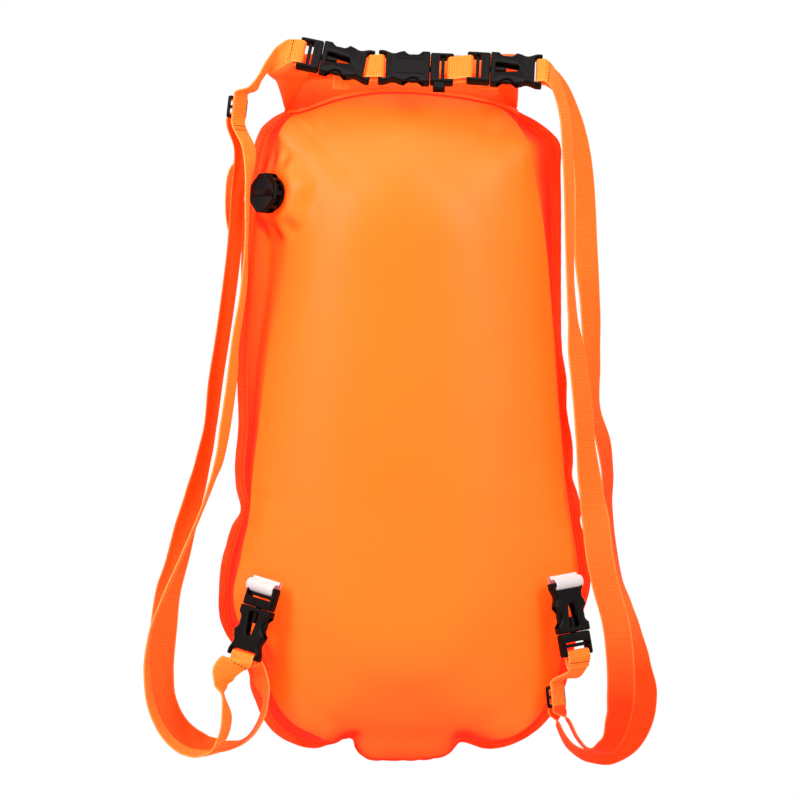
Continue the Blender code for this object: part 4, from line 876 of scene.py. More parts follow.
def panel_rows(side, depth):
    """Rings of points from the rim's edge up the side wall to the fold, and over the face to the spine.

    With them come which points lie on the weld, the spine's points, and the one nearest to each row."""
    outline, length = even_outline()
    edge, fold, rise = outline[:, 2], outline[:, 3:5], outline[:, 5]
    near = outline[:, :2] + rim_inward(outline)
    soft, softer = relaxed(fold, 4, 26), relaxed(fold, 6, 60)
    rise = relaxed(rise, 3, 30)
    spine_top, spine_bottom = (photo_z(py) for py in SPINE_ENDS_PY)
    spine = np.stack([np.zeros(OUTLINE_COUNT), np.clip(fold[:, 1], spine_bottom, spine_top)], 1)
    notch, fine, broad = puckers(outline, length)
    spots = np.arange(OUTLINE_COUNT) * length / OUTLINE_COUNT
    ripple = RIM_RIPPLE * np.sin(spots * TURN / RIM_RIPPLE_LENGTH + 2.0 * broad) * (edge == 0)
    rings = []

    def add_ring(place, height):
        y = RIM_Y + side * (GAP / 2 + SHEET + height)
        rings.append(np.stack([place[:, 0], y, place[:, 1]], 1))

    for k in range(RIM_RINGS):
        t = k / RIM_RINGS
        add_ring(outline[:, :2] * (1 - t) + near * t, edge + side * ripple * (1 - t) ** 2)
    for k in range(WALL_RINGS):
        t = k / WALL_RINGS
        rounded_part = (1 - WALL_STRAIGHT_SHARE) * math.sin(math.pi / 2 * t)
        climb = (depth - edge) * rise * (WALL_STRAIGHT_SHARE * t + rounded_part)
        add_ring(near * (1 - t) + fold * t, edge + climb + PUCKER * WALL_PUCKER_SHARE * notch * fine * t)
    for k in range(FACE_RINGS + 1):
        share = 1 - (k / FACE_RINGS) ** RING_CROWDING_POWER * (1 - SPINE_SHARE)
        first = smooth_step((1 - share) / 0.12)
        second = smooth_step((1 - share - 0.05) / 0.35)
        inner = fold * (1 - first) + soft * first
        inner = inner * (1 - second) + softer * second
        folds = (0.35 * fine + 0.25 * broad) * math.exp(-(1 - share) / 0.10)
        folds = folds + notch * fine * 0.9 * math.exp(-(1 - share) / 0.16)
        folds = folds * (0.3 + 0.7 * smooth_step((1 - share) / 0.03))
        crown = rise + (1 - rise) * (1 - share ** CROWN_POWER)
        add_ring(spine * (1 - share) + inner * share, edge + (depth - edge) * crown + PUCKER * folds)
    top_y = RIM_Y + side * (GAP / 2 + SHEET + depth)
    ridge = [Vector((0, top_y, z)) for z in np.linspace(spine_top, spine_bottom, SPINE_STEPS + 1)]
    nearest = np.rint((spine_top - spine[:, 1]) / (spine_top - spine_bottom) * SPINE_STEPS).astype(int)
    return rings, edge == 0, ridge, nearest


def creased(rings, side):
    """Presses the pleats under the crease, and flattens the cloth where the valve is welded on."""
    for ring in rings:
        for (ax, az), (bx, bz) in PLEATS_PX:
            start = np.array((photo_x(ax), photo_z(az)))
            toward = np.array((photo_x(bx), photo_z(bz))) - start
            reach = np.linalg.norm(toward)
            toward = toward / reach
            offset = ring[:, ::2] - start
            along = offset @ toward
            aside = offset @ np.array((-toward[1], toward[0]))
            width = PLEAT_WIDTH + PLEAT_SPREAD_SHARE * np.clip(along, 0, None)
            strength = np.exp(-np.clip(along, 0, None) / reach) * swell(along / PLEAT_START)
            ring[:, 1] -= side * PLEAT * strength * np.exp(-(aside / width) ** 2)
        if side < 0:
            offset = ring - np.array(VALVE_PLACE)
            out = offset @ np.array(VALVE_AXIS)
            around = np.sqrt(np.maximum((offset ** 2).sum(1) - out ** 2, 0))
            near = np.abs(out) < VALVE_REACH
            flat = 1 - np.clip((around - VALVE_FLAT_RADIUS) / VALVE_FLAT_FADE, 0, 1)
            flat = flat * flat * (3 - 2 * flat) * near
            patch = PATCH_RISE * swell((PATCH_RADIUS - around) / PATCH_EDGE) * near
            turn = np.arctan2(offset[:, 2], offset[:, 0] - offset[:, 1])
            fade = np.exp(-((around - GATHER_RADIUS) / GATHER_WIDTH) ** 2)
            gathers = GATHER_RISE * np.sin(GATHERS * turn) * fade
            ring += ((patch + gathers - out * flat)[:, None]) * np.array(VALVE_AXIS)


def add_panel(name, side, depth, node, material):
    """One wall of the chamber, marked with its painted shade, from how steep or downward-facing each point
    is, and with which points lie on the weld.
    """
    rings, welded, ridge, nearest = panel_rows(side, depth)
    creased(rings, side)
    bm = bmesh.new()
    painted_shade_layer = bm.verts.layers.float.new("wall")
    flange_layer = bm.verts.layers.float.new("flange")
    rows = [[bm.verts.new(place) for place in ring] for ring in rings]
    for first, second in zip(rows, rows[1:]):
        for i in range(OUTLINE_COUNT):
            j = (i + 1) % OUTLINE_COUNT
            corners = (first[i], first[j], second[j], second[i])
            bm.faces.new(corners if side < 0 else corners[::-1])
    spine = [bm.verts.new(place) for place in ridge]
    for i in range(OUTLINE_COUNT):
        j = (i + 1) % OUTLINE_COUNT
        corners = [rows[-1][i], rows[-1][j], spine[nearest[j]]]
        if nearest[i] != nearest[j]:
            corners.append(spine[nearest[i]])
        bm.faces.new(corners if side < 0 else corners[::-1])
    bm.normal_update()
    for k, row in enumerate(rows):
        for vert, on_weld in zip(row, welded):
            vert[flange_layer] = float(k <= RIM_RINGS and on_weld)
            # Painted shade: cloth turned away from the front, and cloth facing down, is marked red
            steep = SHADE_STEEPNESS_START - abs(vert.normal.y) + UNDERSIDE_SHADE * max(0.0, -vert.normal.z)
            vert[painted_shade_layer] = smooth_step(steep / SHADE_STEEPNESS_START) * (k > RIM_RINGS)
    if side < 0:
        hole = [face for face in bm.faces if valve_distance(face.calc_center_median()) < VALVE_TUBE_RADIUS]
        bmesh.ops.delete(bm, geom=hole, context="FACES")
    mesh = mesh_from_bmesh(name, bm, 50)
    thickened(mesh, SHEET)
    return placed(name, mesh, material, "root", [node])


def valve_distance(place):
    """Distance of a place from the valve's axis, or a long way if it isn't near the valve."""
    offset = place - VALVE_PLACE
    if offset.length > 2 * KNOB_RADIUS:
        return 1.0
    return (offset - offset.dot(VALVE_AXIS) * VALVE_AXIS).length


def thickened(mesh, thickness):
    """Gives an open sheet its thickness, inwards from its outer face."""
    holder = bpy.data.objects.new("sheet", mesh)
    pieces.objects.link(holder)
    modifier = holder.modifiers.new("Wall", "SOLIDIFY")
    modifier.thickness = thickness
    modifier.offset = -1
    bpy.context.view_layer.update()
    solid = bpy.data.meshes.new_from_object(holder.evaluated_get(bpy.context.evaluated_depsgraph_get()))
    bm = bmesh.new()
    bm.from_mesh(solid)
    bm.to_mesh(mesh)
    bm.free()
    bpy.data.objects.remove(holder, do_unlink=True)


def ring_front_y():
    """Middle of the roll's front ends, just behind the tilted top buckles."""
    tilt = math.radians(ROW_FACE_UP_DEG)
    row_back = BUCKLE_HALF_WIDTH * math.sin(tilt) + BUCKLE_THICKNESS / 2 * math.cos(tilt)
    return row_back + ROLL_THICKNESS / 2 + WEB + 2 * GAP


def ring_line(extra_left, extra_right, turn_steps):
    """The C that the rolled mouth follows in plan, from its left front end round the back."""
    centre_x = photo_x(RING_CENTRE_PX)
    front_y = ring_front_y()
    centre_y = front_y + RING_RADIUS
    points = []
    for i in range(ROLL_END_STEPS if extra_left > 0 else 0):
        points.append((centre_x - RING_HALF_STRAIGHT + extra_left * (1 - i / ROLL_END_STEPS), front_y))
    for side, start in ((-1, -math.pi / 2), (1, math.pi / 2)):
        for i in range(turn_steps + 1):
            angle = start - math.pi * i / turn_steps
            points.append((centre_x + side * RING_HALF_STRAIGHT + RING_RADIUS * math.cos(angle),
                           centre_y + RING_RADIUS * math.sin(angle)))
        if side < 0:
            rear = 2 * RING_HALF_STRAIGHT
            for i in range(1, ROLL_REAR_STEPS):
                along = rear * i / ROLL_REAR_STEPS
                points.append((centre_x - RING_HALF_STRAIGHT + along, centre_y + RING_RADIUS))
    for i in range(1, ROLL_END_STEPS + 1 if extra_right > 0 else 0):
        points.append((centre_x + RING_HALF_STRAIGHT - extra_right * i / ROLL_END_STEPS, front_y))
    return points


def swept_rings(line, section):
    """The rings of a section of (out, up) points swept along a level line; section may be a function."""
    rings = []
    for i, (x, y) in enumerate(line):
        before = Vector(line[max(i - 1, 0)])
        after = Vector(line[min(i + 1, len(line) - 1)])
        tangent = (after - before).normalized()
        out = Vector((-tangent.y, tangent.x))
        points = section(i / (len(line) - 1))
        rings.append([Vector((x + out.x * a, y + out.y * a, b)) for a, b in points])
    return rings


def roll_section(share):
    """The rolled cloth cut across: a flattened spiral of three turns, tighter in some places than others."""
    middle = ROLL_BOTTOM_Z + ROLL_HEIGHT / 2
    core_wide, core_tall = ROLL_CORE_HALF
    wobble = ROLL_WOBBLE * noise.noise(Vector((share * 9, 0.2, 0.7)))
    outer, inner = [], []
    steps = ROLL_TURNS * ROLL_SECTION_STEPS
    for i in range(int(steps) + 1):
        part = i / steps
        angle = -math.pi / 2 - TURN * ROLL_TURNS * (1 - part)
        c, s = math.cos(angle), math.sin(angle)
        dent = ROLL_DENT * noise.noise(Vector((share * 26, c * 1.3, s * 1.3)))
        for target, back in ((outer, 0.0), (inner, SHEET)):
            wide = core_wide + (ROLL_THICKNESS / 2 - core_wide) * part - back + dent * part + wobble
            tall = core_tall + (ROLL_HEIGHT / 2 - core_tall) * part - back + dent * part
            target.append((wide * math.copysign(abs(c) ** ROLL_ROUND_POWER, c),
                           middle + tall * math.copysign(abs(s) ** ROLL_ROUND_POWER, s)))
    return outer + inner[::-1]


def add_roll(material):
    """The mouth, rolled up and bent forward."""
    left = photo_x(ROLL_END_PX[0]) - (photo_x(RING_CENTRE_PX) - RING_HALF_STRAIGHT)
    right = photo_x(RING_CENTRE_PX) + RING_HALF_STRAIGHT - photo_x(ROLL_END_PX[1])
    rings = swept_rings(ring_line(left, right, ROLL_TURN_STEPS), roll_section)
    mesh = lofted("rolled_mouth", rings)
    painted_shade_by_height(mesh, *ROLL_PAINTED_SHADE_SHARES)
    placed("rolled_mouth", mesh, material, "root", ["roll_top"])


def along_line(line, share):
    """The point at a share of a polyline's length."""
    spans = [(b - a).length for a, b in zip(line, line[1:])]
    target = share * sum(spans)
    for a, b, span in zip(line, line[1:], spans):
        if target <= span:
            return a.lerp(b, target / span)
        target -= span
    return line[-1].copy()


def crease_stations(columns):
    """The chamber's top edge from left to right as x, z and half opening."""
    marks = RIM_LEFT_PX[:1] + CREASE_PX[::-1] + RIM_RIGHT_PX[-1:]
    corners = [photo_point(px, py, 0) for px, py in marks]
    places = [place for place, _, _ in smooth_run(corners, CREASE_STEPS)]
    last = len(places) - 1
    stations = []
    for i in range(columns + 1):
        spot = last * np.interp(i / columns, (0, BEND_SHARE, 1 - BEND_SHARE, 1),
                                (0, BEND_PART_SHARE, 1 - BEND_PART_SHARE, 1))
        low = min(int(spot), last - 1)
        place = places[low].lerp(places[low + 1], spot - low)
        stations.append((place.x, place.z, CREASE_DEPTH * crease_share(place.x)))
    return stations


def painted_shade_by_height(mesh, low_share, high_share):
    """Marks a mesh with painted shade, redder towards its foot: from a share at its foot to another at its
    top.
    """
    heights = np.array([vert.co.z for vert in mesh.vertices])
    climb = (heights - heights.min()) / (heights.max() - heights.min())
    layer = mesh.attributes.new("wall", "FLOAT", "POINT")
    layer.data.foreach_set("value", low_share + (high_share - low_share) * climb)


def collar_loop(rise, half_layers, columns):
    """The sleeve at a share of its height, along its front layer and back along the rear one.

    It swings in to the line of the roll, then opens round the roll's lower half."""
    line = [Vector(point) for point in ring_line(0, 0, COLLAR_LINE_STEPS)]
    top_z = ROLL_BOTTOM_Z + ROLL_HEIGHT / 2
    middles, halves, heights = [], [], []
    for i, (x, z, opening) in enumerate(crease_stations(columns)):
        height = z + GAP + (top_z - z - GAP) * rise
        swing = min(1.0, (height - z) / (ROLL_BOTTOM_Z - GAP - z))
        middles.append(Vector((x, RIM_Y)).lerp(along_line(line, i / columns), swing))
        slack = COLLAR_SLACK * noise.noise(Vector((i * 0.35, rise * 1.2, 0.5))) * math.sin(math.pi * rise)
        hug = smooth_step((height - ROLL_BOTTOM_Z + COLLAR_OPENS) / (2 * COLLAR_OPENS))
        halves.append(half_layers + opening * (1 - swing) + slack + hug * ROLL_THICKNESS / 2)
        heights.append(height)
    front, rear = [], []
    for i, (middle, half, height) in enumerate(zip(middles, halves, heights)):
        ahead = (middles[min(i + 1, columns)] - middles[max(i - 1, 0)]).normalized()
        past = (half_layers - COLLAR_HALF_LAYERS) * ((i == columns) - (i == 0))
        across = Vector((-ahead.y, ahead.x)) * half
        for layer, sign in ((front, -1), (rear, 1)):
            place = middle + sign * across + past * ahead
            layer.append(Vector((place.x, place.y, height)))
    return front + rear[::-1]


def add_collar(material):
    """The neck between the chamber and the rolled mouth."""
    outer, inner = (
        [collar_loop(i / COLLAR_LEVELS, half_layers, COLLAR_COLUMNS) for i in range(COLLAR_LEVELS + 1)]
        for half_layers in (COLLAR_HALF_LAYERS + SHEET, COLLAR_HALF_LAYERS))
    mesh = lofted("neck_sleeve", outer + inner[::-1], closed_line=True, sharp_deg=60)
    painted_shade_by_height(mesh, *COLLAR_PAINTED_SHADE_SHARES)
    placed("neck_sleeve", mesh, material, "root", ["collar"])


def add_pouch(material):
    """The dry compartment, a slack pouch inside the chamber."""
    low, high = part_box("dry_liner")
    centre, half = (low.x + high.x) / 2, (high.x - low.x) / 2
    mouth_deep = CREASE_DEPTH - 2 * SHEET
    rings = []
    for k in range(POUCH_LEVELS + 1):
        t = k / POUCH_LEVELS
        z = high.z + (low.z - high.z) * t
        width = half * (POUCH_TOP_SHARE + (1 - POUCH_TOP_SHARE) * smooth_step(t / 0.25))
        width *= 1 - POUCH_FOOT_SHARE * smooth_step((t - 0.82) / 0.18)
        deep = mouth_deep + (LINER_DEPTH - mouth_deep) * smooth_step(t / 0.2)
        ring = []
        for i in range(POUCH_SIDES):
            c, s = math.cos(TURN * i / POUCH_SIDES), math.sin(TURN * i / POUCH_SIDES)
            sag = POUCH_SAG * noise.noise(Vector((c * 3, s * 3, t * 6)))
            ring.append(Vector((centre + width * c, RIM_Y + (deep + sag) * s, z)))
        rings.append(ring)
    inner = [[point + (Vector((centre, RIM_Y, point.z)) - point) * POUCH_WALL_SHARE for point in ring]
             for ring in rings]
    floor_up = Vector((0, 0, SHEET))
    inner[-1] = [point + floor_up for point in inner[-1]]
    mesh = lofted("dry_pouch", inner[::-1] + rings, sharp_deg=60)
    placed("dry_pouch", mesh, material, "root", ["dry_liner"])


def strip_section(width, thickness):
    """Points round a strip as (across, out), with rounded edges."""
    radius = thickness / 2
    flat = width / 2 - radius
    section = [(flat * (2 * i / FLAT_STEPS - 1), radius) for i in range(FLAT_STEPS + 1)]
    for i in range(1, EDGE_STEPS):
        angle = math.pi / 2 - math.pi * i / EDGE_STEPS
        section.append((flat + radius * math.cos(angle), radius * math.sin(angle)))
    return section + [(-across, -out) for across, out in section]


def strip_mesh(name, stations, thickness, closed=False, shades=SHORT_SHADES):
    """Webbing through (place, width vector) stations, with its weave's UV in metres.

    Shades are how much painted shade reddens it at even steps along its length."""
    bm = bmesh.new()
    weave = bm.loops.layers.uv.new("weave")
    outside = bm.verts.layers.float.new("outside")
    shade = bm.verts.layers.float.new("shade")
    marks = np.linspace(0, 1, len(shades))
    width = stations[0][1].length
    section = strip_section(width, thickness)
    count, last = len(section), len(stations)
    rings, lengths = [], [0.0]
    for i, (place, side) in enumerate(stations):
        if closed:
            tangent = stations[(i + 1) % last][0] - stations[i - 1][0]
        else:
            tangent = stations[min(i + 1, last - 1)][0] - stations[max(i - 1, 0)][0]
        out = tangent.cross(side).normalized()
        across = side.normalized()
        ring = []
        for a, b in section:
            vert = bm.verts.new(place + across * a + out * b)
            vert[outside] = 0.5 + b / thickness
            vert[shade] = float(np.interp(i / (last - 1), marks, shades))
            ring.append(vert)
        rings.append(ring)
        if i:
            lengths.append(lengths[-1] + (place - stations[i - 1][0]).length)
    pairs = [(i, i + 1) for i in range(last - 1)]
    if closed:
        pairs.append((last - 1, 0))
        lengths.append(lengths[-1] + (stations[0][0] - stations[-1][0]).length)
    for first, second in pairs:
        for j in range(count):
            k = (j + 1) % count
            face = bm.faces.new((rings[first][j], rings[first][k], rings[second][k], rings[second][j]))
            corners = ((j, first), (k, first), (k, first + 1), (j, first + 1))
            for loop, (mark, step) in zip(face.loops, corners):
                loop[weave].uv = (section[mark][0] + width / 2, lengths[step])
    if not closed:
        bm.faces.new(rings[0][::-1])
        bm.faces.new(rings[-1])
    bmesh.ops.recalc_face_normals(bm, faces=bm.faces)
    return mesh_from_bmesh(name, bm, 50)


def photo_stations(edges, depths):
    """Stations from the two edges seen in the photograph: the rest of the width lies in depth."""
    stations = []
    for (ax, ay, bx, by), depth in zip(edges, depths):
        first, second = photo_point(ax, ay, 0), photo_point(bx, by, 0)
        seen = second - first
        if seen.length > WEB_WIDTH:
            seen *= WEB_WIDTH / seen.length
        hidden = math.sqrt(max(0.0, WEB_WIDTH ** 2 - seen.length_squared))
        middle = (first + second) / 2
        middle.y = depth * FRONT_DEPTH
        stations.append((middle, Vector((seen.x, hidden, seen.z))))
    return stations


def smoothed(stations):
    """A smooth run through (place, width vector) stations."""
    width = stations[0][1].length
    result = []
    for place, i, t in smooth_run([place for place, _ in stations], RUN_STEPS):
        side = stations[i][1].lerp(stations[i + 1][1], t * t * (3 - 2 * t)).normalized() * width
        result.append((place, side))
    return result


def wrap_stations(centre, away, facing, width, radius):
    """Half a turn round a bar, from its facing side to the other, on the side opposite to away."""
    across = away.cross(facing).normalized() * width
    stations = []
    for i in range(WRAP_STEPS + 1):
        angle = math.pi * i / WRAP_STEPS
        place = centre + facing * radius * math.cos(angle) - away * radius * math.sin(angle)
        stations.append((place, across.copy()))
    return stations


def matching(stations, reference):
    """Turns the width vectors so that the first of them points the same way as the reference."""
    if stations[0][1].dot(reference) < 0:
        return [(place, -width) for place, width in stations]
    return stations


class Fitting:
    """Where a buckle or an adjuster sits."""

    def __init__(self, matrix):
        self.matrix = matrix
        self.along = matrix.col[0].to_3d()
        self.facing = -matrix.col[1].to_3d()

    def at(self, x):
        return self.matrix @ Vector((x, 0, 0))


def buckle_fitting(pixels, up_deg, out_deg, y=0.0, end_stays=False):
    """A buckle by its female half's mouth and far end, tilted up or turned out of the photograph's plane."""
    mouth, end = (photo_point(px, py, y) for px, py in pixels)
    if end_stays:
        mouth = end + (mouth - end).normalized() * FEMALE_LENGTH
    facing = Vector((math.sin(math.radians(out_deg)), -math.cos(math.radians(out_deg)), 0))
    facing.rotate(Matrix.Rotation(-math.radians(up_deg), 3, "X"))
    return Fitting(frame_matrix(mouth, end - mouth, facing))


def glide_fitting(pixels, depth_share):
    """An adjuster by its top and bottom."""
    top, bottom = (photo_point(px, py, depth_share * FRONT_DEPTH) for px, py in pixels)
    out = math.radians(GLIDE_OUT_DEG)
    facing = Vector((-math.sin(out), -math.cos(out), 0))
    return Fitting(frame_matrix((top + bottom) / 2, bottom - top, facing))


def bar_wrap(bar, away, facing):
    return wrap_stations(bar, away, facing, WEB_WIDTH, WRAP_RADIUS)


def glide_wrap(glide, end):
    return wrap_stations(glide.at(end * GLIDE_BAR_X), end * glide.along, glide.facing, WEB_WIDTH,
                         GLIDE_WRAP_RADIUS)


def run_between(first, first_away, middle, last, last_away):
    """A smooth run that leaves one bar squarely, follows the middle and meets the other squarely."""
    stations = [first, (first[0] + first_away * LEAD, first[1])] + middle
    return smoothed(stations + [(last[0] + last_away * LEAD, last[1]), last])


def rounded(points, radius, steps=4):
    """A flat outline with its corners rounded, by less where a side is short."""
    result = []
    count = len(points)
    for i, (x, z) in enumerate(points):
        here = Vector((x, z))
        back, ahead = Vector(points[i - 1]) - here, Vector(points[(i + 1) % count]) - here
        turn = back.angle(-ahead, 0.0)
        reach = min(radius, back.length * 0.45, ahead.length * 0.45)
        if turn < math.radians(14):
            result.append((x, z))
            continue
        first, last = here + back.normalized() * reach, here + ahead.normalized() * reach
        for step in range(steps + 1):
            t = step / steps
            place = first * (1 - t) ** 2 + here * 2 * t * (1 - t) + last * t * t
            result.append((place.x, place.y))
    return result


def plate(name, outline, holes, thickness, rounding):
    """A moulding of flat outlines in XZ, its thickness along Y, with every edge rounded."""
    curve = bpy.data.curves.new(name, "CURVE")
    curve.dimensions = "2D"
    curve.fill_mode = "BOTH"
    curve.extrude = thickness / 2 - rounding
    curve.bevel_depth = rounding
    curve.bevel_resolution = 2
    curve.offset = -rounding
    for points in [outline] + holes:
        spline = curve.splines.new("POLY")
        spline.points.add(len(points) - 1)
        for point, (x, z) in zip(spline.points, points):
            point.co = (x, z, 0, 1)
        spline.use_cyclic_u = True
    holder = bpy.data.objects.new(name, curve)
    pieces.objects.link(holder)
    bpy.context.view_layer.update()
    mesh = bpy.data.meshes.new_from_object(holder.evaluated_get(bpy.context.evaluated_depsgraph_get()))
    bpy.data.objects.remove(holder, do_unlink=True)
    mesh.materials.clear()
    bm = bmesh.new()
    bm.from_mesh(mesh)
    bmesh.ops.remove_doubles(bm, verts=bm.verts, dist=0.00002)
    bmesh.ops.recalc_face_normals(bm, faces=bm.faces)
    bmesh.ops.rotate(bm, cent=(0, 0, 0), matrix=Matrix.Rotation(math.pi / 2, 3, "X"), verts=bm.verts)
    bm.to_mesh(mesh)
    bm.free()
    return mesh


def block(name, low, high, rounding=0.0):
    """A box between two corners, with rounded edges if it has a rounding."""
    bm = bmesh.new()
    bmesh.ops.create_cube(bm, size=1)
    bmesh.ops.scale(bm, vec=Vector(high) - Vector(low), verts=bm.verts)
    bmesh.ops.translate(bm, vec=(Vector(high) + Vector(low)) / 2, verts=bm.verts)
    if rounding:
        bmesh.ops.bevel(bm, geom=bm.edges[:], offset=rounding, segments=3, profile=0.5, affect="EDGES")
    mesh = bpy.data.meshes.new(name)
    bm.to_mesh(mesh)
    bm.free()
    return mesh


def rod(name, radius, low, high, x, sides=28):
    """A round bar along Z at the given x."""
    bm = bmesh.new()
    bmesh.ops.create_cone(
        bm, cap_ends=True, segments=sides, radius1=radius, radius2=radius, depth=high - low)
    caps = [face for face in bm.faces if len(face.verts) > 4]
    edges = {edge for face in caps for edge in face.edges}
    bmesh.ops.bevel(bm, geom=list(edges), offset=radius * 0.4, segments=3, profile=0.5, affect="EDGES")
    bmesh.ops.translate(bm, vec=(x, 0, (high + low) / 2), verts=bm.verts)
    mesh = bpy.data.meshes.new(name)
    bm.to_mesh(mesh)
    bm.free()
    return mesh


def combined(name, base, steps, sharp_deg=32):
    """Joins and cuts meshes in turn, each step being an operation and a mesh."""
    target = bpy.data.objects.new(name, base)
    pieces.objects.link(target)
    others = []
    for operation, mesh in steps:
        other = bpy.data.objects.new(mesh.name, mesh)
        pieces.objects.link(other)
        others.append(other)
        modifier = target.modifiers.new(operation.title(), "BOOLEAN")
        modifier.operation = operation
        modifier.solver = "EXACT"
        modifier.object = other
    bpy.context.view_layer.update()
    mesh = bpy.data.meshes.new_from_object(target.evaluated_get(bpy.context.evaluated_depsgraph_get()))
    mesh.name = name
    for holder in [target] + others:
        bpy.data.objects.remove(holder, do_unlink=True)
    mesh.materials.clear()
    bm = bmesh.new()
    bm.from_mesh(mesh)
    bmesh.ops.remove_doubles(bm, verts=bm.verts, dist=0.000004)
    bmesh.ops.triangulate(bm, faces=[face for face in bm.faces if len(face.verts) > 4])
    bm.to_mesh(mesh)
    bm.free()
    mesh.shade_smooth()
    mesh.set_sharp_from_angle(angle=math.radians(sharp_deg))
    return mesh


def mirrored(points):
    """A closed outline from its upper side and the mirror image of that below the axis."""
    return points + [(x, -z) for x, z in reversed(points)]


def arc(centre, radius, start_deg, end_deg, steps):
    """Points along a round arc."""
    cx, cz = centre
    angles = [math.radians(start_deg + (end_deg - start_deg) * i / steps) for i in range(steps + 1)]
    return [(cx + radius * math.cos(angle), cz + radius * math.sin(angle)) for angle in angles]


def upper_and_lower(operation, name, low, high, rounding):
    """A step that cuts or adds a block beside the axis, and another for its mirror image."""
    lower = (low[0], low[1], -high[2]), (high[0], high[1], -low[2])
    return [(operation, block(name + "_upper", low, high, rounding)),
            (operation, block(name + "_lower", *lower, rounding))]


def face_rib(x, half):
    """A rib that stands on a buckle's front face, across it."""
    face = -BUCKLE_THICKNESS / 2
    rib = block("rib", (x, face - RIB_OUT, -half), (x + RIB_WIDTH, face + RIB_IN, half), RIB_EDGE)
    return "UNION", rib


def female_half(kind):
    """The female half: mouth at x = 0, finger scoops, a waist, and two arms with the bar between."""
    scoop = arc((SCOOP_CENTRE_X, SCOOP_CENTRE_Z), SCOOP_RADIUS, *SCOOP_ARC_DEG, 12)
    tail = [(x * FEMALE_LENGTH, z * BUCKLE_HALF_WIDTH) for x, z in FEMALE_TAIL_SHARES]
    slot_start = FEMALE_LENGTH - 2 * BAR_RADIUS - SLOT_WIDTH
    arm = [(FEMALE_LENGTH, SLOT_HALF), (slot_start, SLOT_HALF)]
    outline = mirrored([(0, BUCKLE_HALF_WIDTH)] + scoop + tail + arm)
    holes = []
    if kind != "solid":
        window = mirrored([(x * FEMALE_LENGTH, z * BUCKLE_HALF_WIDTH) for x, z in WINDOW_SHARES])
        holes.append(rounded(window, WINDOW_CORNER))
    body = plate("female", rounded(outline, FEMALE_CORNER, 3), holes, BUCKLE_THICKNESS, FEMALE_EDGE)
    deep = CAVITY_THICKNESS / 2
    cavity = block("cavity", (-OVERRUN, -deep, -CAVITY_HALF), (CAVITY_LENGTH, deep, CAVITY_HALF), FINE_EDGE)
    pads_low = (MOUTH_LENGTH, -deep, PAD_WINDOW_SIDE)
    pads_high = (MOUTH_LENGTH + PAD_WINDOW_LENGTH, deep, BUCKLE_HALF_WIDTH + OVERRUN)
    steps = [("DIFFERENCE", cavity)] + upper_and_lower("DIFFERENCE", "pads", pads_low, pads_high, FINE_EDGE)
    for i in range(2):
        steps.append(face_rib(slot_start - FEMALE_RIB_BACK - i * FEMALE_RIB_PITCH, FEMALE_RIB_HALF))
    face = -BUCKLE_THICKNESS / 2
    rails = RAILS_LOW if kind == "solid" else ()
    for z in rails:
        rail = block("rail", (RAIL_SPAN[0], face - RAIL_OUT, z),
                     (RAIL_SPAN[1], face + RIB_IN, z + RIB_WIDTH), FINE_EDGE)
        steps.append(("UNION", rail))
    low = -SLOT_HALF + HOOK_OPENING if kind == "hook" else -SLOT_HALF - OVERRUN
    steps.append(("UNION", rod("bar", BAR_RADIUS, low, SLOT_HALF + OVERRUN, FEMALE_BAR)))
    return combined("female_" + kind, body, steps)


def male_half(whistle):
    """The male half without its prongs: the base, its bars, the middle tongue and maybe a whistle."""
    upper = [(-x * (MALE_LENGTH - GAP) - GAP, z * MALE_HALF_WIDTH) for x, z in MALE_OUTLINE_SHARES]
    body = plate("male", rounded(mirrored(upper), MALE_CORNER, 4), [], BUCKLE_THICKNESS, MALE_EDGE)
    deep = CAVITY_THICKNESS / 2 - GAP
    reach = MALE_ARM_INSIDE + OVERRUN
    slot_end = MALE_SLOT_DEPTH - MALE_LENGTH
    slot = block("slot", (-MALE_LENGTH - OVERRUN, -BUCKLE_THICKNESS, -MALE_ARM_INSIDE),
                 (slot_end, BUCKLE_THICKNESS, MALE_ARM_INSIDE))
    thick = MIDDLE_BAR_RADIUS + MIDDLE_BAR_EXTRA
    middle = block("middle_bar", (-MIDDLE_BAR_X - MIDDLE_BAR_RADIUS, -thick, -reach),
                   (-MIDDLE_BAR_X + MIDDLE_BAR_RADIUS + MIDDLE_BAR_LEDGE, thick, reach), MIDDLE_BAR_EDGE)
    tongue = block("tongue", (-OVERRUN, -deep, -TONGUE_HALF),
                   (TONGUE_LENGTH, deep, TONGUE_HALF), TONGUE_EDGE)
    steps = [
        ("DIFFERENCE", slot),
        ("UNION", rod("bar", BAR_RADIUS, -reach, reach, MALE_BAR)),
        ("UNION", middle),
        ("UNION", tongue),
        face_rib(-MALE_RIB_BACK, MALE_RIB_HALF),
    ]
    if whistle:
        tip = MALE_HALF_WIDTH + WHISTLE_DROP
        wide, half, bore = WHISTLE_LENGTH / 2, WHISTLE_WIDTH / 2, WHISTLE_LENGTH / 3
        mouthpiece = block("whistle", (-WHISTLE_X - wide, -half, reach), (-WHISTLE_X + wide, half, tip),
                           WHISTLE_EDGE)
        lip = block("lip", (-WHISTLE_X - wide - LIP, -half - LIP, tip - LIP_DEPTH),
                    (-WHISTLE_X + wide + LIP, half + LIP, tip), LIP_EDGE)
        blow_slot = block("blow_slot", (-WHISTLE_X - bore, -WHISTLE_SLOT / 2, tip - WHISTLE_DROP),
                          (-WHISTLE_X + bore, WHISTLE_SLOT / 2, tip + OVERRUN))
        steps += [("UNION", mouthpiece), ("UNION", lip), ("DIFFERENCE", blow_slot)]
    return combined("male_whistle" if whistle else "male_plain", body, steps)


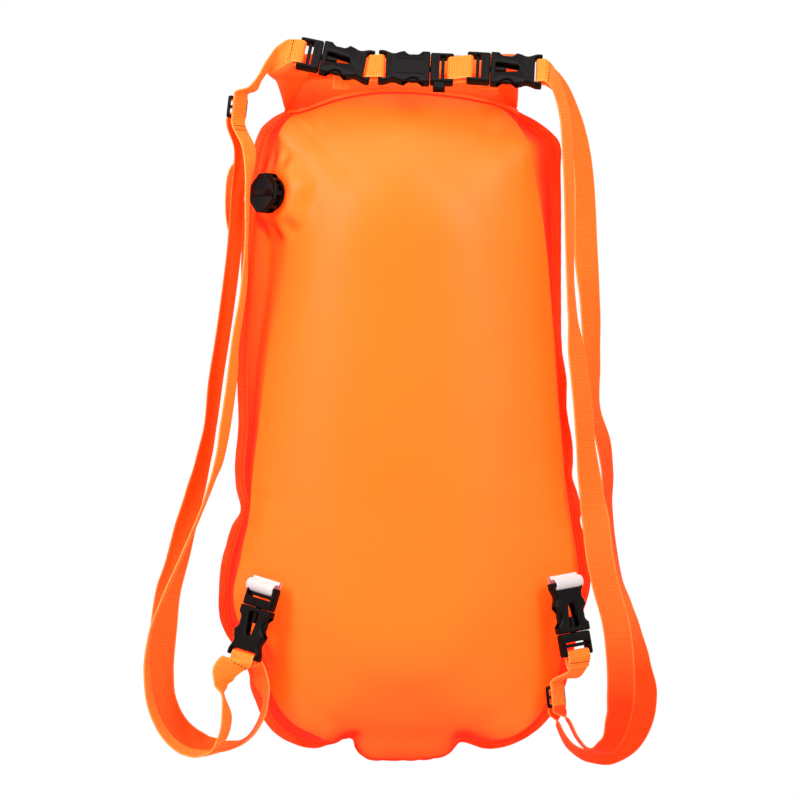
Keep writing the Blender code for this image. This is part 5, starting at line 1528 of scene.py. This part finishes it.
def prong():
    """One flexing prong with its origin on the root's round end, and grip ribs on its pad."""
    radius = PRONG_WIDTH / 2
    points = arc((0, 0), radius, 270, 90, 8)
    for i in range(PAD_STEPS + 1):
        share = i / PAD_STEPS
        rise = PAD_RISE * 4 * share * (1 - share)
        grip = GRIP_RISE * math.sin(TURN * GRIP_RIDGES * share) * math.sin(math.pi * share)
        points.append((PAD_START - PRONG_START + PAD_LENGTH * share, radius + rise + grip))
    reach = PRONG_REACH - PRONG_START
    points += [(reach - radius, radius), (reach, 0), (reach - radius, -radius)]
    mesh = plate("prong", points, [], CAVITY_THICKNESS - 2 * GAP, FINE_EDGE)
    mesh.shade_smooth()
    mesh.set_sharp_from_angle(angle=math.radians(35))
    return mesh


def pivot(side):
    """Where a prong flexes from, in its buckle's own frame."""
    return Vector((PRONG_START, 0, side * (CAVITY_HALF - SIDE_CLEARANCE - PRONG_WIDTH / 2)))


def put(name, mesh, matrix, material, body, node):
    """One plastic piece: its own copy of a moulding, placed in its mesh."""
    copy = mesh.copy()
    copy.transform(matrix)
    return placed(name, copy, material, body, [node])


def body_of(node):
    """The body that a node of the frame rides on."""
    for name, holds in frame["record"]["behaviour"]["bodies"].items():
        if node in holds:
            return name
    return "root"


def add_buckle(name, fitting, kind, mouldings, material):
    """A buckle's two halves and two prongs, the lower prong turned over."""
    male = "male_whistle" if kind == "solid" else "male_plain"
    upper = fitting.matrix @ Matrix.Translation(pivot(1))
    lower = fitting.matrix @ Matrix.Translation(pivot(-1)) @ Matrix.Rotation(math.pi, 4, "X")
    for suffix, moulding, matrix in (
            ("female", "female_" + kind, fitting.matrix), ("male", male, fitting.matrix),
            ("prong_a", "prong", upper), ("prong_b", "prong", lower)):
        node = name + "_" + suffix
        put(node + "_moulding", mouldings[moulding], matrix, material, body_of(node), node)


def glide_moulding():
    """An adjuster's frame: a rounded plate with a window on each side of its middle bar."""
    half, side = GLIDE_LENGTH / 2, GLIDE_HALF_WIDTH
    outline = rounded([(-half, -side), (half, -side), (half, side), (-half, side)], GLIDE_CORNER, 5)
    rail, bar = side - GLIDE_RAIL, GLIDE_BAR_RADIUS
    holes = []
    for sign in (-1, 1):
        low, high = sorted((sign * bar, sign * (GLIDE_BAR_X - bar)))
        window = [(low, -rail), (high, -rail), (high, rail), (low, rail)]
        holes.append(rounded(window, GLIDE_WINDOW_CORNER, 3))
    mesh = plate("glide", outline, holes, 2 * bar, bar * 0.8)
    mesh.shade_smooth()
    mesh.set_sharp_from_angle(angle=math.radians(40))
    return mesh


def turned(name, profile):
    """A turned solid about Z from (radius, height) points that go all the way round its section."""
    rings = []
    for i in range(TURNED_SIDES):
        angle = TURN * i / TURNED_SIDES
        rings.append([Vector((r * math.cos(angle), r * math.sin(angle), z)) for r, z in profile])
    return lofted(name, rings, closed_line=True, sharp_deg=30)


def valve_matrix():
    """Places the valve's own Z along its axis, from the panel outwards."""
    matrix = VALVE_AXIS.to_track_quat("Z", "Y").to_matrix().to_4x4()
    matrix.translation = VALVE_PLACE
    return matrix


def regular(count, radius):
    """A regular outline with flats at its sides."""
    angles = [TURN * (i + 0.5) / count for i in range(count)]
    return [(radius * math.cos(angle), radius * math.sin(angle)) for angle in angles]


def upright(mesh):
    """Turns a plate so that its thickness is along Z."""
    mesh.transform(Matrix.Rotation(math.pi / 2, 4, "X"))
    return mesh


def valve_seat():
    """The welded flange with the neck that the cap screws on."""
    top = GAP + VALVE_FLANGE
    neck = [(VALVE_BORE_RADIUS, top + VALVE_NECK), (VALVE_TUBE_RADIUS, top + VALVE_NECK),
            (VALVE_TUBE_RADIUS, top)]
    edge = [(VALVE_FLANGE_RADIUS - back, top - down) for back, down in FLANGE_CHAMFER]
    tube = [(VALVE_FLANGE_RADIUS, GAP), (VALVE_TUBE_RADIUS, GAP),
            (VALVE_TUBE_RADIUS, -VALVE_DEPTH), (VALVE_BORE_RADIUS, -VALVE_DEPTH)]
    return turned("valve_seat", neck + edge + tube)


def valve_cap():
    """The cap: eight sides with two grip pockets each, a dished face with a bar, and a plug below."""
    top = GAP + VALVE_FLANGE
    low = top + 2 * GAP + 2 * SEAL_RADIUS
    high = low + KNOB_HEIGHT
    radius = KNOB_RADIUS * CAP_WIDER
    outline = rounded(regular(CAP_SIDES, radius), CAP_CORNER, 4)
    cap = upright(plate("cap", outline, [], KNOB_HEIGHT, CAP_EDGE))
    cap.transform(Matrix.Translation((0, 0, (low + high) / 2)))
    steps = []
    apothem = radius * math.cos(math.pi / CAP_SIDES)
    for i in range(CAP_SIDES):
        for z in (-POCKET_ASIDE, POCKET_ASIDE):
            pocket = block("pocket", (apothem - POCKET_DEPTH, z - POCKET_HALF, low + POCKET_FLOOR),
                           (apothem + OVERRUN, z + POCKET_HALF, high - POCKET_ROOF), POCKET_EDGE)
            pocket.transform(Matrix.Rotation(TURN * i / CAP_SIDES, 4, "Z"))
            steps.append(("DIFFERENCE", pocket))
    dish_radius = KNOB_RADIUS * DISH_SHARE
    dish_outline = rounded(regular(CAP_SIDES, dish_radius), DISH_CORNER, 4)
    dish = upright(plate("dish", dish_outline, [], DISH_DEPTH, DISH_EDGE))
    dish.transform(Matrix.Translation((0, 0, high + DISH_OUT)))
    hollow = block("hollow", (-CAP_HOLLOW_HALF, -CAP_HOLLOW_HALF, low - OVERRUN),
                   (CAP_HOLLOW_HALF, CAP_HOLLOW_HALF, low + CAP_HOLLOW_DEPTH))
    bar = block("bar", (-dish_radius, -CAP_BAR_HALF, low + CAP_BAR_FOOT),
                (dish_radius, CAP_BAR_HALF, high + CAP_BAR_OUT), CAP_BAR_EDGE)
    plug = rod("plug", VALVE_BORE_RADIUS - GAP, top, low + PLUG_REACH, 0, 40)
    steps += [("DIFFERENCE", dish), ("DIFFERENCE", hollow), ("UNION", bar), ("UNION", plug)]
    return combined("valve_cap", cap, steps, 30)


def add_valve(material):
    """The valve's seat and its cap, which turns."""
    for mesh, body, node in ((valve_seat(), "root", "valve_base"), (valve_cap(), "knob", "valve_knob")):
        mesh.transform(valve_matrix())
        placed(mesh.name, mesh, material, body, [node])


def stitch_tree():
    """Nodes that lay stitches along seams: one short capsule of thread at each step."""
    tree = bpy.data.node_groups.new("Stitches", "GeometryNodeTree")
    interface = tree.interface
    interface.new_socket("Seam", in_out="INPUT", socket_type="NodeSocketGeometry")
    for label in ("Pitch", "Length", "Thread radius"):
        interface.new_socket(label, in_out="INPUT", socket_type="NodeSocketFloat")
    interface.new_socket("Thread", in_out="INPUT", socket_type="NodeSocketMaterial")
    interface.new_socket("Stitches", in_out="OUTPUT", socket_type="NodeSocketGeometry")
    nodes, link = tree.nodes, tree.links.new
    given, result = nodes.new("NodeGroupInput"), nodes.new("NodeGroupOutput")
    curve = nodes.new("GeometryNodeMeshToCurve")
    spots = nodes.new("GeometryNodeCurveToPoints")
    spots.mode = "LENGTH"
    turn = nodes.new("FunctionNodeAlignRotationToVector")
    turn.axis = "Z"
    ball = nodes.new("GeometryNodeMeshUVSphere")
    ball.inputs["Segments"].default_value = 8
    ball.inputs["Rings"].default_value = 6
    ball.inputs["Radius"].default_value = 1.0
    scale = nodes.new("ShaderNodeCombineXYZ")
    half = nodes.new("ShaderNodeMath")
    half.operation = "MULTIPLY"
    half.inputs[1].default_value = 0.5
    copies = nodes.new("GeometryNodeInstanceOnPoints")
    real = nodes.new("GeometryNodeRealizeInstances")
    smooth = nodes.new("GeometryNodeSetShadeSmooth")
    paint = nodes.new("GeometryNodeSetMaterial")
    link(given.outputs["Seam"], curve.inputs["Mesh"])
    link(curve.outputs["Curve"], spots.inputs["Curve"])
    link(given.outputs["Pitch"], spots.inputs["Length"])
    link(spots.outputs["Tangent"], turn.inputs["Vector"])
    link(given.outputs["Length"], half.inputs[0])
    link(given.outputs["Thread radius"], scale.inputs["X"])
    link(given.outputs["Thread radius"], scale.inputs["Y"])
    link(half.outputs["Value"], scale.inputs["Z"])
    link(spots.outputs["Points"], copies.inputs["Points"])
    link(ball.outputs["Mesh"], copies.inputs["Instance"])
    link(turn.outputs["Rotation"], copies.inputs["Rotation"])
    link(scale.outputs["Vector"], copies.inputs["Scale"])
    link(copies.outputs["Instances"], real.inputs["Geometry"])
    link(real.outputs["Geometry"], smooth.inputs["Geometry"])
    link(smooth.outputs["Geometry"], paint.inputs["Geometry"])
    link(given.outputs["Thread"], paint.inputs["Material"])
    link(paint.outputs["Geometry"], result.inputs["Stitches"])
    return tree


def stitches(name, seams, pitch, length, radius, material):
    """A mesh of stitches along seams, each a list of points."""
    verts, edges = [], []
    for seam in seams:
        start = len(verts)
        verts += seam
        edges += [(start + i, start + i + 1) for i in range(len(seam) - 1)]
    path = bpy.data.meshes.new(name)
    path.from_pydata(verts, edges, [])
    holder = bpy.data.objects.new(name, path)
    pieces.objects.link(holder)
    modifier = holder.modifiers.new("Stitches", "NODES")
    modifier.node_group = stitching
    given = {"Pitch": pitch, "Length": length, "Thread radius": radius, "Thread": material}
    for item in stitching.interface.items_tree:
        if item.in_out == "INPUT" and item.name in given:
            modifier[item.identifier] = given[item.name]
    bpy.context.view_layer.update()
    mesh = bpy.data.meshes.new_from_object(holder.evaluated_get(bpy.context.evaluated_depsgraph_get()))
    bpy.data.objects.remove(holder, do_unlink=True)
    return mesh


def cross_seam(stations, distance):
    """Rows of points across both faces of a strip, at a distance along it."""
    for i in range(1, len(stations)):
        here, before = stations[i], stations[i - 1]
        span = (here[0] - before[0]).length
        if distance <= span or i == len(stations) - 1:
            place = before[0].lerp(here[0], min(distance / span, 1))
            across = here[1].normalized()
            out = (here[0] - before[0]).cross(here[1]).normalized()
            half = here[1].length / 2 - SEAM_INSET
            lift = WEB / 2 + THREAD_LIFT
            return [[place + across * half * end + out * side * lift for end in (-1, 1)] for side in (-1, 1)]
        distance -= span
    return []


def rim_seams():
    """The stitch line round the welded rim, on both faces."""
    outline, _ = even_outline()
    places = outline[:, :2] + rim_inward(outline) * STITCH_INSET_SHARE
    welded = outline[:, 2] == 0
    lift = GAP / 2 + SHEET + THREAD_LIFT
    return [[Vector((x, RIM_Y + side * lift, z)) for x, z in places[welded]] for side in (-1, 1)]


def add_white_tab(name, bar, away, facing, node, material):
    """A coated strip rolled over a lower buckle's bar and outer arm and welded down on the front panel."""
    outward = Vector((math.copysign(1, bar.x), 0, 0))
    across = away.cross(facing).normalized() * WHITE_WIDTH
    shift = across.normalized() * math.copysign(WHITE_SHIFT, across.dot(outward))
    rear = bar + away * WHITE_RISE - facing * (WHITE_RADIUS + WHITE_CLEARANCE)
    front = bar + away * WHITE_RISE - facing * (WHITE_RADIUS - WEB - GAP - WHITE_CLEARANCE)
    turn = []
    for degrees in range(*WHITE_ROLL_DEG):
        angle = math.radians(degrees)
        out, along = math.cos(angle), math.sin(angle)
        turn.append((bar + (facing * out - away * along) * WHITE_RADIUS, across))
    run = smoothed([(front, across)] + turn + [(rear, across)])
    stations = [(place + shift, side) for place, side in run]
    placed(name, strip_mesh(name, stations, WEB), material, "root", [node])


def strip_piece(name, stations, node, span, seams=(), shades=SHORT_SHADES):
    """A stretch of webbing between two bodies, fixed where it lies, and its stitches."""
    mesh = strip_mesh(name, stations, WEB, shades=shades)
    placed(name, mesh, cloth_webbing, None, [node], span)
    rows = [row for distance in seams for row in cross_seam(stations, distance)]
    if rows:
        mesh = stitches(name + "_stitches", rows, SEAM_PITCH, SEAM_STITCH, SEAM_THREAD, cloth_thread)
        placed(name + "_stitches", mesh, cloth_thread, None, (), span)


def length_of(stations):
    """How long a run of stations is."""
    return sum((b[0] - a[0]).length for a, b in zip(stations, stations[1:]))


def cut_at(stations, distance):
    """The number of the first station at least a distance along."""
    for i in range(1, len(stations)):
        distance -= (stations[i][0] - stations[i - 1][0]).length
        if distance <= 0:
            return i
    return len(stations) - 1


def lowest(stations):
    """The number of the lowest station."""
    return min(range(len(stations)), key=lambda i: stations[i][0].z)


def short_ply(male, glide, edges, depth_shares, share):
    """The single ply from a male half's bar, where its sewn tail lies, to an adjuster's near end.

    Gives its stations, the place where it leaves the bar, the number of the station at a share of
    the run, and the place where the adjuster begins.
    """
    middle = photo_stations(edges, depth_shares)
    bar = bar_wrap(male.at(MALE_BAR), -male.along, male.facing)
    sewn = matching(bar, middle[0][1])[::-1]
    end = matching(glide_wrap(glide, -1), middle[-1][1])
    run = run_between(sewn[-1], -male.along, middle, end[0], -glide.along)
    tail = [(sewn[0][0] - male.along * SEWN_TAIL + male.facing * SEWN_TAIL_OUT, sewn[0][1])]
    cut = len(tail + sewn) + cut_at(run, length_of(run) * share)
    return tail + sewn + run[1:] + end[1:], sewn[-1][0], cut, end[0][0]


def add_short_ply(names, node, bodies, ply):
    """A single ply as two pieces: the one that is sewn round the bar, and the run to the adjuster."""
    stations, start, cut, end = ply
    middle = stations[cut][0]
    strip_piece(names[0], stations[:cut + 1], node, (bodies[0], "root", start, middle), (SEWN_SEAM,))
    strip_piece(names[1], stations[cut:], node, ("root", bodies[1], middle, end))


def add_left_strap(male, female, glide):
    """The left strap: one ply from the top buckle to the adjuster, then two to the lower buckle."""
    add_short_ply(("left_strap_top_sewn", "left_strap_top_run"), "strap_left_upper",
                  ("top_left_insert", "left_slider"),
                  short_ply(male, glide, LEFT_UPPER_PX, LEFT_UPPER_DEPTH_SHARES, LEFT_SEWN_SHARE))
    front = photo_stations(LEFT_FRONT_PX, LEFT_FRONT_DEPTH_SHARES)
    rear = photo_stations(LEFT_REAR_PX, LEFT_REAR_DEPTH_SHARES)
    low = bar_wrap(female.at(FEMALE_BAR), female.along, female.facing)
    plies = two_plies(glide_wrap(glide, 1), glide.along, low, female.along, front, rear)
    for ply, stations in zip(("front", "rear"), plies):
        cut = lowest(stations)
        node = "strap_left_" + ply
        start = stations[0][0]
        run_shades, loop_shades = LEFT_SHADES[ply]
        strip_piece("left_strap_%s_run" % ply, stations[:cut + 1], node,
                    ("left_slider", "root", start, start + glide.along * LEFT_BLEND),
                    GLIDE_SEAMS if ply == "front" else (), run_shades)
        strip_piece("left_strap_%s_loop" % ply, stations[cut:], node,
                    ("root", "low_left_socket", stations[cut][0], female.at(FEMALE_LENGTH)),
                    (length_of(stations[cut:]) - LOOP_SEAM,) if ply == "front" else (), loop_shades)


def two_plies(top, top_away, low, low_away, front, rear):
    """Stations of a front ply that goes round both bars, and of a rear ply that joins its ends."""
    top = matching(top, front[0][1])
    low = matching(low, front[-1][1])
    run = run_between(top[0], top_away, front, low[0], low_away)
    rear_top = (top[-1][0] + top_away * 2 * GAP, top[-1][1])
    rear = matching(rear, rear_top[1])
    rear_low = matching([(low[-1][0] + low_away * 2 * GAP, low[-1][1])], rear[-1][1])[0]
    return top[:0:-1] + run + low[1:], run_between(rear_top, top_away, rear, rear_low, low_away)


def add_right_strap(hook, male, glide):
    """The right strap: two plies from the hook bar to the adjuster, then one to the lower buckle."""
    front = photo_stations(RIGHT_FRONT_PX, RIGHT_FRONT_DEPTH_SHARES)
    rear = photo_stations(RIGHT_REAR_PX, RIGHT_REAR_DEPTH_SHARES)
    top = bar_wrap(hook.at(FEMALE_BAR), hook.along, hook.facing)
    plies = two_plies(top, hook.along, glide_wrap(glide, 1), glide.along, front, rear)
    for ply, stations in zip(("front", "rear"), plies):
        node = "strap_right_" + ply
        first, last = cut_at(stations, HOOK_STIFF), lowest(stations)
        hang = stations[first][0]
        run_shades, loop_shades = RIGHT_SHADES[ply]
        strip_piece("right_strap_%s_top" % ply, stations[:first + 1], node,
                    ("top_right_hook", "row_right", hook.at(FEMALE_LENGTH), hang),
                    (HOOK_SEAM,) if ply == "front" else (), run_shades[:1])
        strip_piece("right_strap_%s_run" % ply, stations[first:last + 1], node,
                    ("row_right", "root", hang, hang - Vector((0, 0, RIGHT_BLEND))), (), run_shades)
        strip_piece("right_strap_%s_loop" % ply, stations[last:], node,
                    ("root", "right_slider", stations[last][0], glide.at(GLIDE_BAR_X)), (), loop_shades)
    add_short_ply(("right_strap_low_sewn", "right_strap_low_run"), "strap_right_lower",
                  ("low_right_insert", "right_slider"),
                  short_ply(male, glide, RIGHT_LOWER_PX, RIGHT_LOWER_DEPTH_SHARES, RIGHT_SEWN_SHARE))


def add_link(name, first, second, bar_x, body, node):
    """A sewn loop of webbing round the bars of two neighbouring buckles."""
    first_bar, second_bar = first.at(bar_x), second.at(bar_x)
    between = second_bar - first_bar
    leads = [math.copysign(1, between.dot(first.along)), math.copysign(1, -between.dot(second.along))]
    start = wrap_stations(first_bar, leads[0] * first.along, first.facing, WEB_WIDTH, WRAP_RADIUS)
    end = wrap_stations(second_bar, leads[1] * second.along, second.facing, WEB_WIDTH, WRAP_RADIUS)
    end = matching(end, start[0][1])
    loop = start + end[::-1]
    placed(name, strip_mesh(name, loop, WEB, closed=True), cloth_webbing, body, [node])


def add_handle():
    """A short ribbed loop of webbing that stands on the back of the left rim."""
    rim_back = RIM_Y + GAP / 2 + SHEET
    stations = photo_stations(HANDLE_PX, [0] * len(HANDLE_PX))
    for place, width in stations:
        place.y = rim_back + GAP + (width.y + WEB) / 2
    mesh = strip_mesh("handle_loop", smoothed(stations), WEB)
    placed("handle_loop", mesh, cloth_webbing, "root", ["side_handle"])


def add_roll_tab(name, px, node):
    """A short tab that hangs on the front of the roll."""
    y = ring_front_y() - ROLL_THICKNESS / 2 - GAP - WEB / 2
    across = Vector((ROLL_TAB_WIDTH, 0, 0))
    heights = [ROLL_BOTTOM_Z + ROLL_HEIGHT * share for share in ROLL_TAB_SHARES]
    stations = smoothed([(Vector((photo_x(px), y, z)), across) for z in heights])
    mesh = strip_mesh(name, stations, WEB, shades=ROLL_TAB_SHADES)
    placed(name, mesh, cloth_webbing, "root", [node])


def add_threaded(name, glide, body):
    """The short stretch of webbing that shows over an adjuster's middle bar."""
    across = glide.matrix.col[2].to_3d() * (WEB_WIDTH - GLIDE_SIDE_ROOM)
    over, quarter = GLIDE_WRAP_RADIUS, GLIDE_BAR_X / 2
    places = [(-GLIDE_BAR_X, -over), (-quarter, GLIDE_DIP - over), (quarter, GLIDE_DIP - over),
              (GLIDE_BAR_X, -over)]
    stations = smoothed([(glide.matrix @ Vector((x, y, 0)), across) for x, y in places])
    placed(name, strip_mesh(name, stations, WEB), cloth_webbing, body)


def add_camera():
    """A long lens straight in front, framed like the photograph."""
    data = bpy.data.cameras.new("camera")
    camera = bpy.data.objects.new("camera", data)
    bpy.context.scene.collection.objects.link(camera)
    middle = photo_point(FRAME_PX / 2, FRAME_PX / 2, 0)
    width = photo_x(FRAME_PX) - photo_x(0)
    data.sensor_width = SENSOR * 1000
    data.lens = SENSOR * 1000 * CAMERA_DISTANCE / width
    data.clip_end = CAMERA_REACH
    camera.location = (middle.x, -CAMERA_DISTANCE, middle.z)
    camera.rotation_euler = (math.pi / 2, 0, 0)
    bpy.context.scene.camera = camera


def add_lamp(name, place, size, watts):
    """A soft box that points at the middle of the bag."""
    data = bpy.data.lights.new(name, "AREA")
    data.shape = "RECTANGLE"
    data.size, data.size_y = size
    data.energy = watts
    lamp = bpy.data.objects.new(name, data)
    bpy.context.scene.collection.objects.link(lamp)
    lamp.location = place
    lamp.rotation_euler = (Vector(LAMP_TARGET) - Vector(place)).to_track_quat("-Z", "Y").to_euler()


def add_world():
    """An even world, dim for the object and white behind it and in its reflections."""
    world = bpy.data.worlds.new("studio")
    bpy.context.scene.world = world
    world.use_nodes = True
    tree = world.node_tree
    back = tree.nodes["Background"]
    back.inputs["Color"].default_value = (1, 1, 1, 1)
    path = tree.nodes.new("ShaderNodeLightPath")
    seen = path.outputs["Is Camera Ray"]
    for label in ("Is Transmission Ray", "Is Glossy Ray"):
        either = tree.nodes.new("ShaderNodeMath")
        either.operation = "MAXIMUM"
        tree.links.new(seen, either.inputs[0])
        tree.links.new(path.outputs[label], either.inputs[1])
        seen = either.outputs[0]
    level = tree.nodes.new("ShaderNodeMapRange")
    level.inputs["To Min"].default_value = AMBIENT
    level.inputs["To Max"].default_value = 1.0
    tree.links.new(seen, level.inputs["Value"])
    tree.links.new(level.outputs["Result"], back.inputs["Strength"])


def add_floor():
    """A pale floor that is nearly white to the camera and still shows the object's shadow."""
    bm = bmesh.new()
    bmesh.ops.create_grid(bm, x_segments=8, y_segments=8, size=FLOOR_HALF)
    bmesh.ops.translate(bm, vec=(0, 0, FLOOR_Z), verts=bm.verts)
    floor = bpy.data.objects.new("floor", mesh_from_bmesh("floor", bm))
    bpy.context.scene.collection.objects.link(floor)
    finish = Finish("floor", {"Roughness": 0.9, "Base Color": (0.88, 0.88, 0.88, 1)})
    ray = finish.node("ShaderNodeLightPath", output="Is Camera Ray")
    glow = finish.node("ShaderNodeEmission", {}, {"Color": (1, 1, 1, 1), "Strength": 1.0})
    shader = Value(finish, finish.shader.outputs[0])
    both = finish.node("ShaderNodeMixShader", {}, {0: ray * FLOOR_SEEN_SHARE, 1: shader, 2: glow})
    finish.tree.links.new(both.socket, finish.tree.nodes["Material Output"].inputs[0])
    floor.data.materials.append(finish.material)


bpy.context.scene.view_settings.view_transform = "Standard"
add_camera()
for lamp in LAMPS:
    add_lamp(*lamp)
add_world()
add_floor()

cloth = coated_fabric()
cloth_webbing = webbing()
cloth_thread = thread()
plastic = black_plastic()
stitching = stitch_tree()

add_panel("chamber_front", -1, FRONT_DEPTH, "front_panel", cloth)
add_panel("chamber_rear", 1, REAR_DEPTH, "rear_panel", cloth)
rim_thread = stitches("rim_stitches", rim_seams(), STITCH_PITCH, STITCH_LENGTH, THREAD_RADIUS, cloth_thread)
placed("rim_stitches", rim_thread, cloth_thread, "root")
add_collar(cloth)
add_roll(cloth)
add_pouch(liner_fabric())

mouldings = {"female_" + kind: female_half(kind) for kind in ("solid", "open", "hook")}
mouldings["male_plain"] = male_half(False)
mouldings["male_whistle"] = male_half(True)
mouldings["prong"] = prong()
top_left = buckle_fitting(TOP_LEFT_PX, ROW_FACE_UP_DEG, 0, end_stays=True)
top_centre = buckle_fitting(TOP_CENTRE_PX, ROW_FACE_UP_DEG, 0, end_stays=True)
top_right = buckle_fitting(TOP_RIGHT_PX, ROW_FACE_UP_DEG, 0)
low_left = buckle_fitting(LOW_LEFT_PX, 0, -LOW_FACE_OUT_DEG, LOW_MOUTH_Y)
low_right = buckle_fitting(LOW_RIGHT_PX, 0, LOW_FACE_OUT_DEG, LOW_MOUTH_Y)
for buckle_name, buckle, buckle_kind in (
        ("top_left", top_left, "open"), ("top_centre", top_centre, "solid"),
        ("top_right", top_right, "hook"), ("low_left", low_left, "open"), ("low_right", low_right, "open")):
    add_buckle(buckle_name, buckle, buckle_kind, mouldings, plastic)

left_glide = glide_fitting(LEFT_GLIDE_PX, LEFT_GLIDE_DEPTH_SHARE)
right_glide = glide_fitting(RIGHT_GLIDE_PX, RIGHT_GLIDE_DEPTH_SHARE)
glide_mould = glide_moulding()
put("left_adjuster", glide_mould, left_glide.matrix, plastic, "left_slider", "triglide_left")
put("right_adjuster", glide_mould, right_glide.matrix, plastic, "right_slider", "triglide_right")

add_link("left_link", top_left, top_centre, FEMALE_BAR, "root", "link_left")
add_link("right_link", top_centre, top_right, MALE_BAR, "row_right", "link_right")
white_tape = white_strip()
add_white_tab("left_white_tab", low_left.at(MALE_BAR), -low_left.along, low_left.facing,
              "tab_left", white_tape)
add_white_tab("right_white_tab", low_right.at(FEMALE_BAR), low_right.along, low_right.facing,
              "tab_right", white_tape)
for tab_side, tab_px in zip(("left", "right"), ROLL_TABS_PX):
    add_roll_tab(tab_side + "_roll_tab", tab_px, "roll_tab_" + tab_side)
add_left_strap(top_left, low_left, left_glide)
add_right_strap(top_right, low_right, right_glide)
add_threaded("left_adjuster_ply", left_glide, "left_slider")
add_threaded("right_adjuster_ply", right_glide, "right_slider")
add_handle()
add_valve(plastic)

stiffener = grained("stiffener_plastic", 0.45, 300.0, (0.70, 0.69, 0.66), (0.82, 0.81, 0.78), 0.4, 0.4)
rubber = grained("rubber", 0.35, 900.0, (0.010, 0.010, 0.010), (0.025, 0.025, 0.025), 0.55, 0.5)
for node_name, material in (("mouth_stiffener", stiffener), ("valve_seal", rubber), ("valve_flap", rubber)):
    frame["nodes"][node_name].data.materials.clear()
    frame["nodes"][node_name].data.materials.append(material)
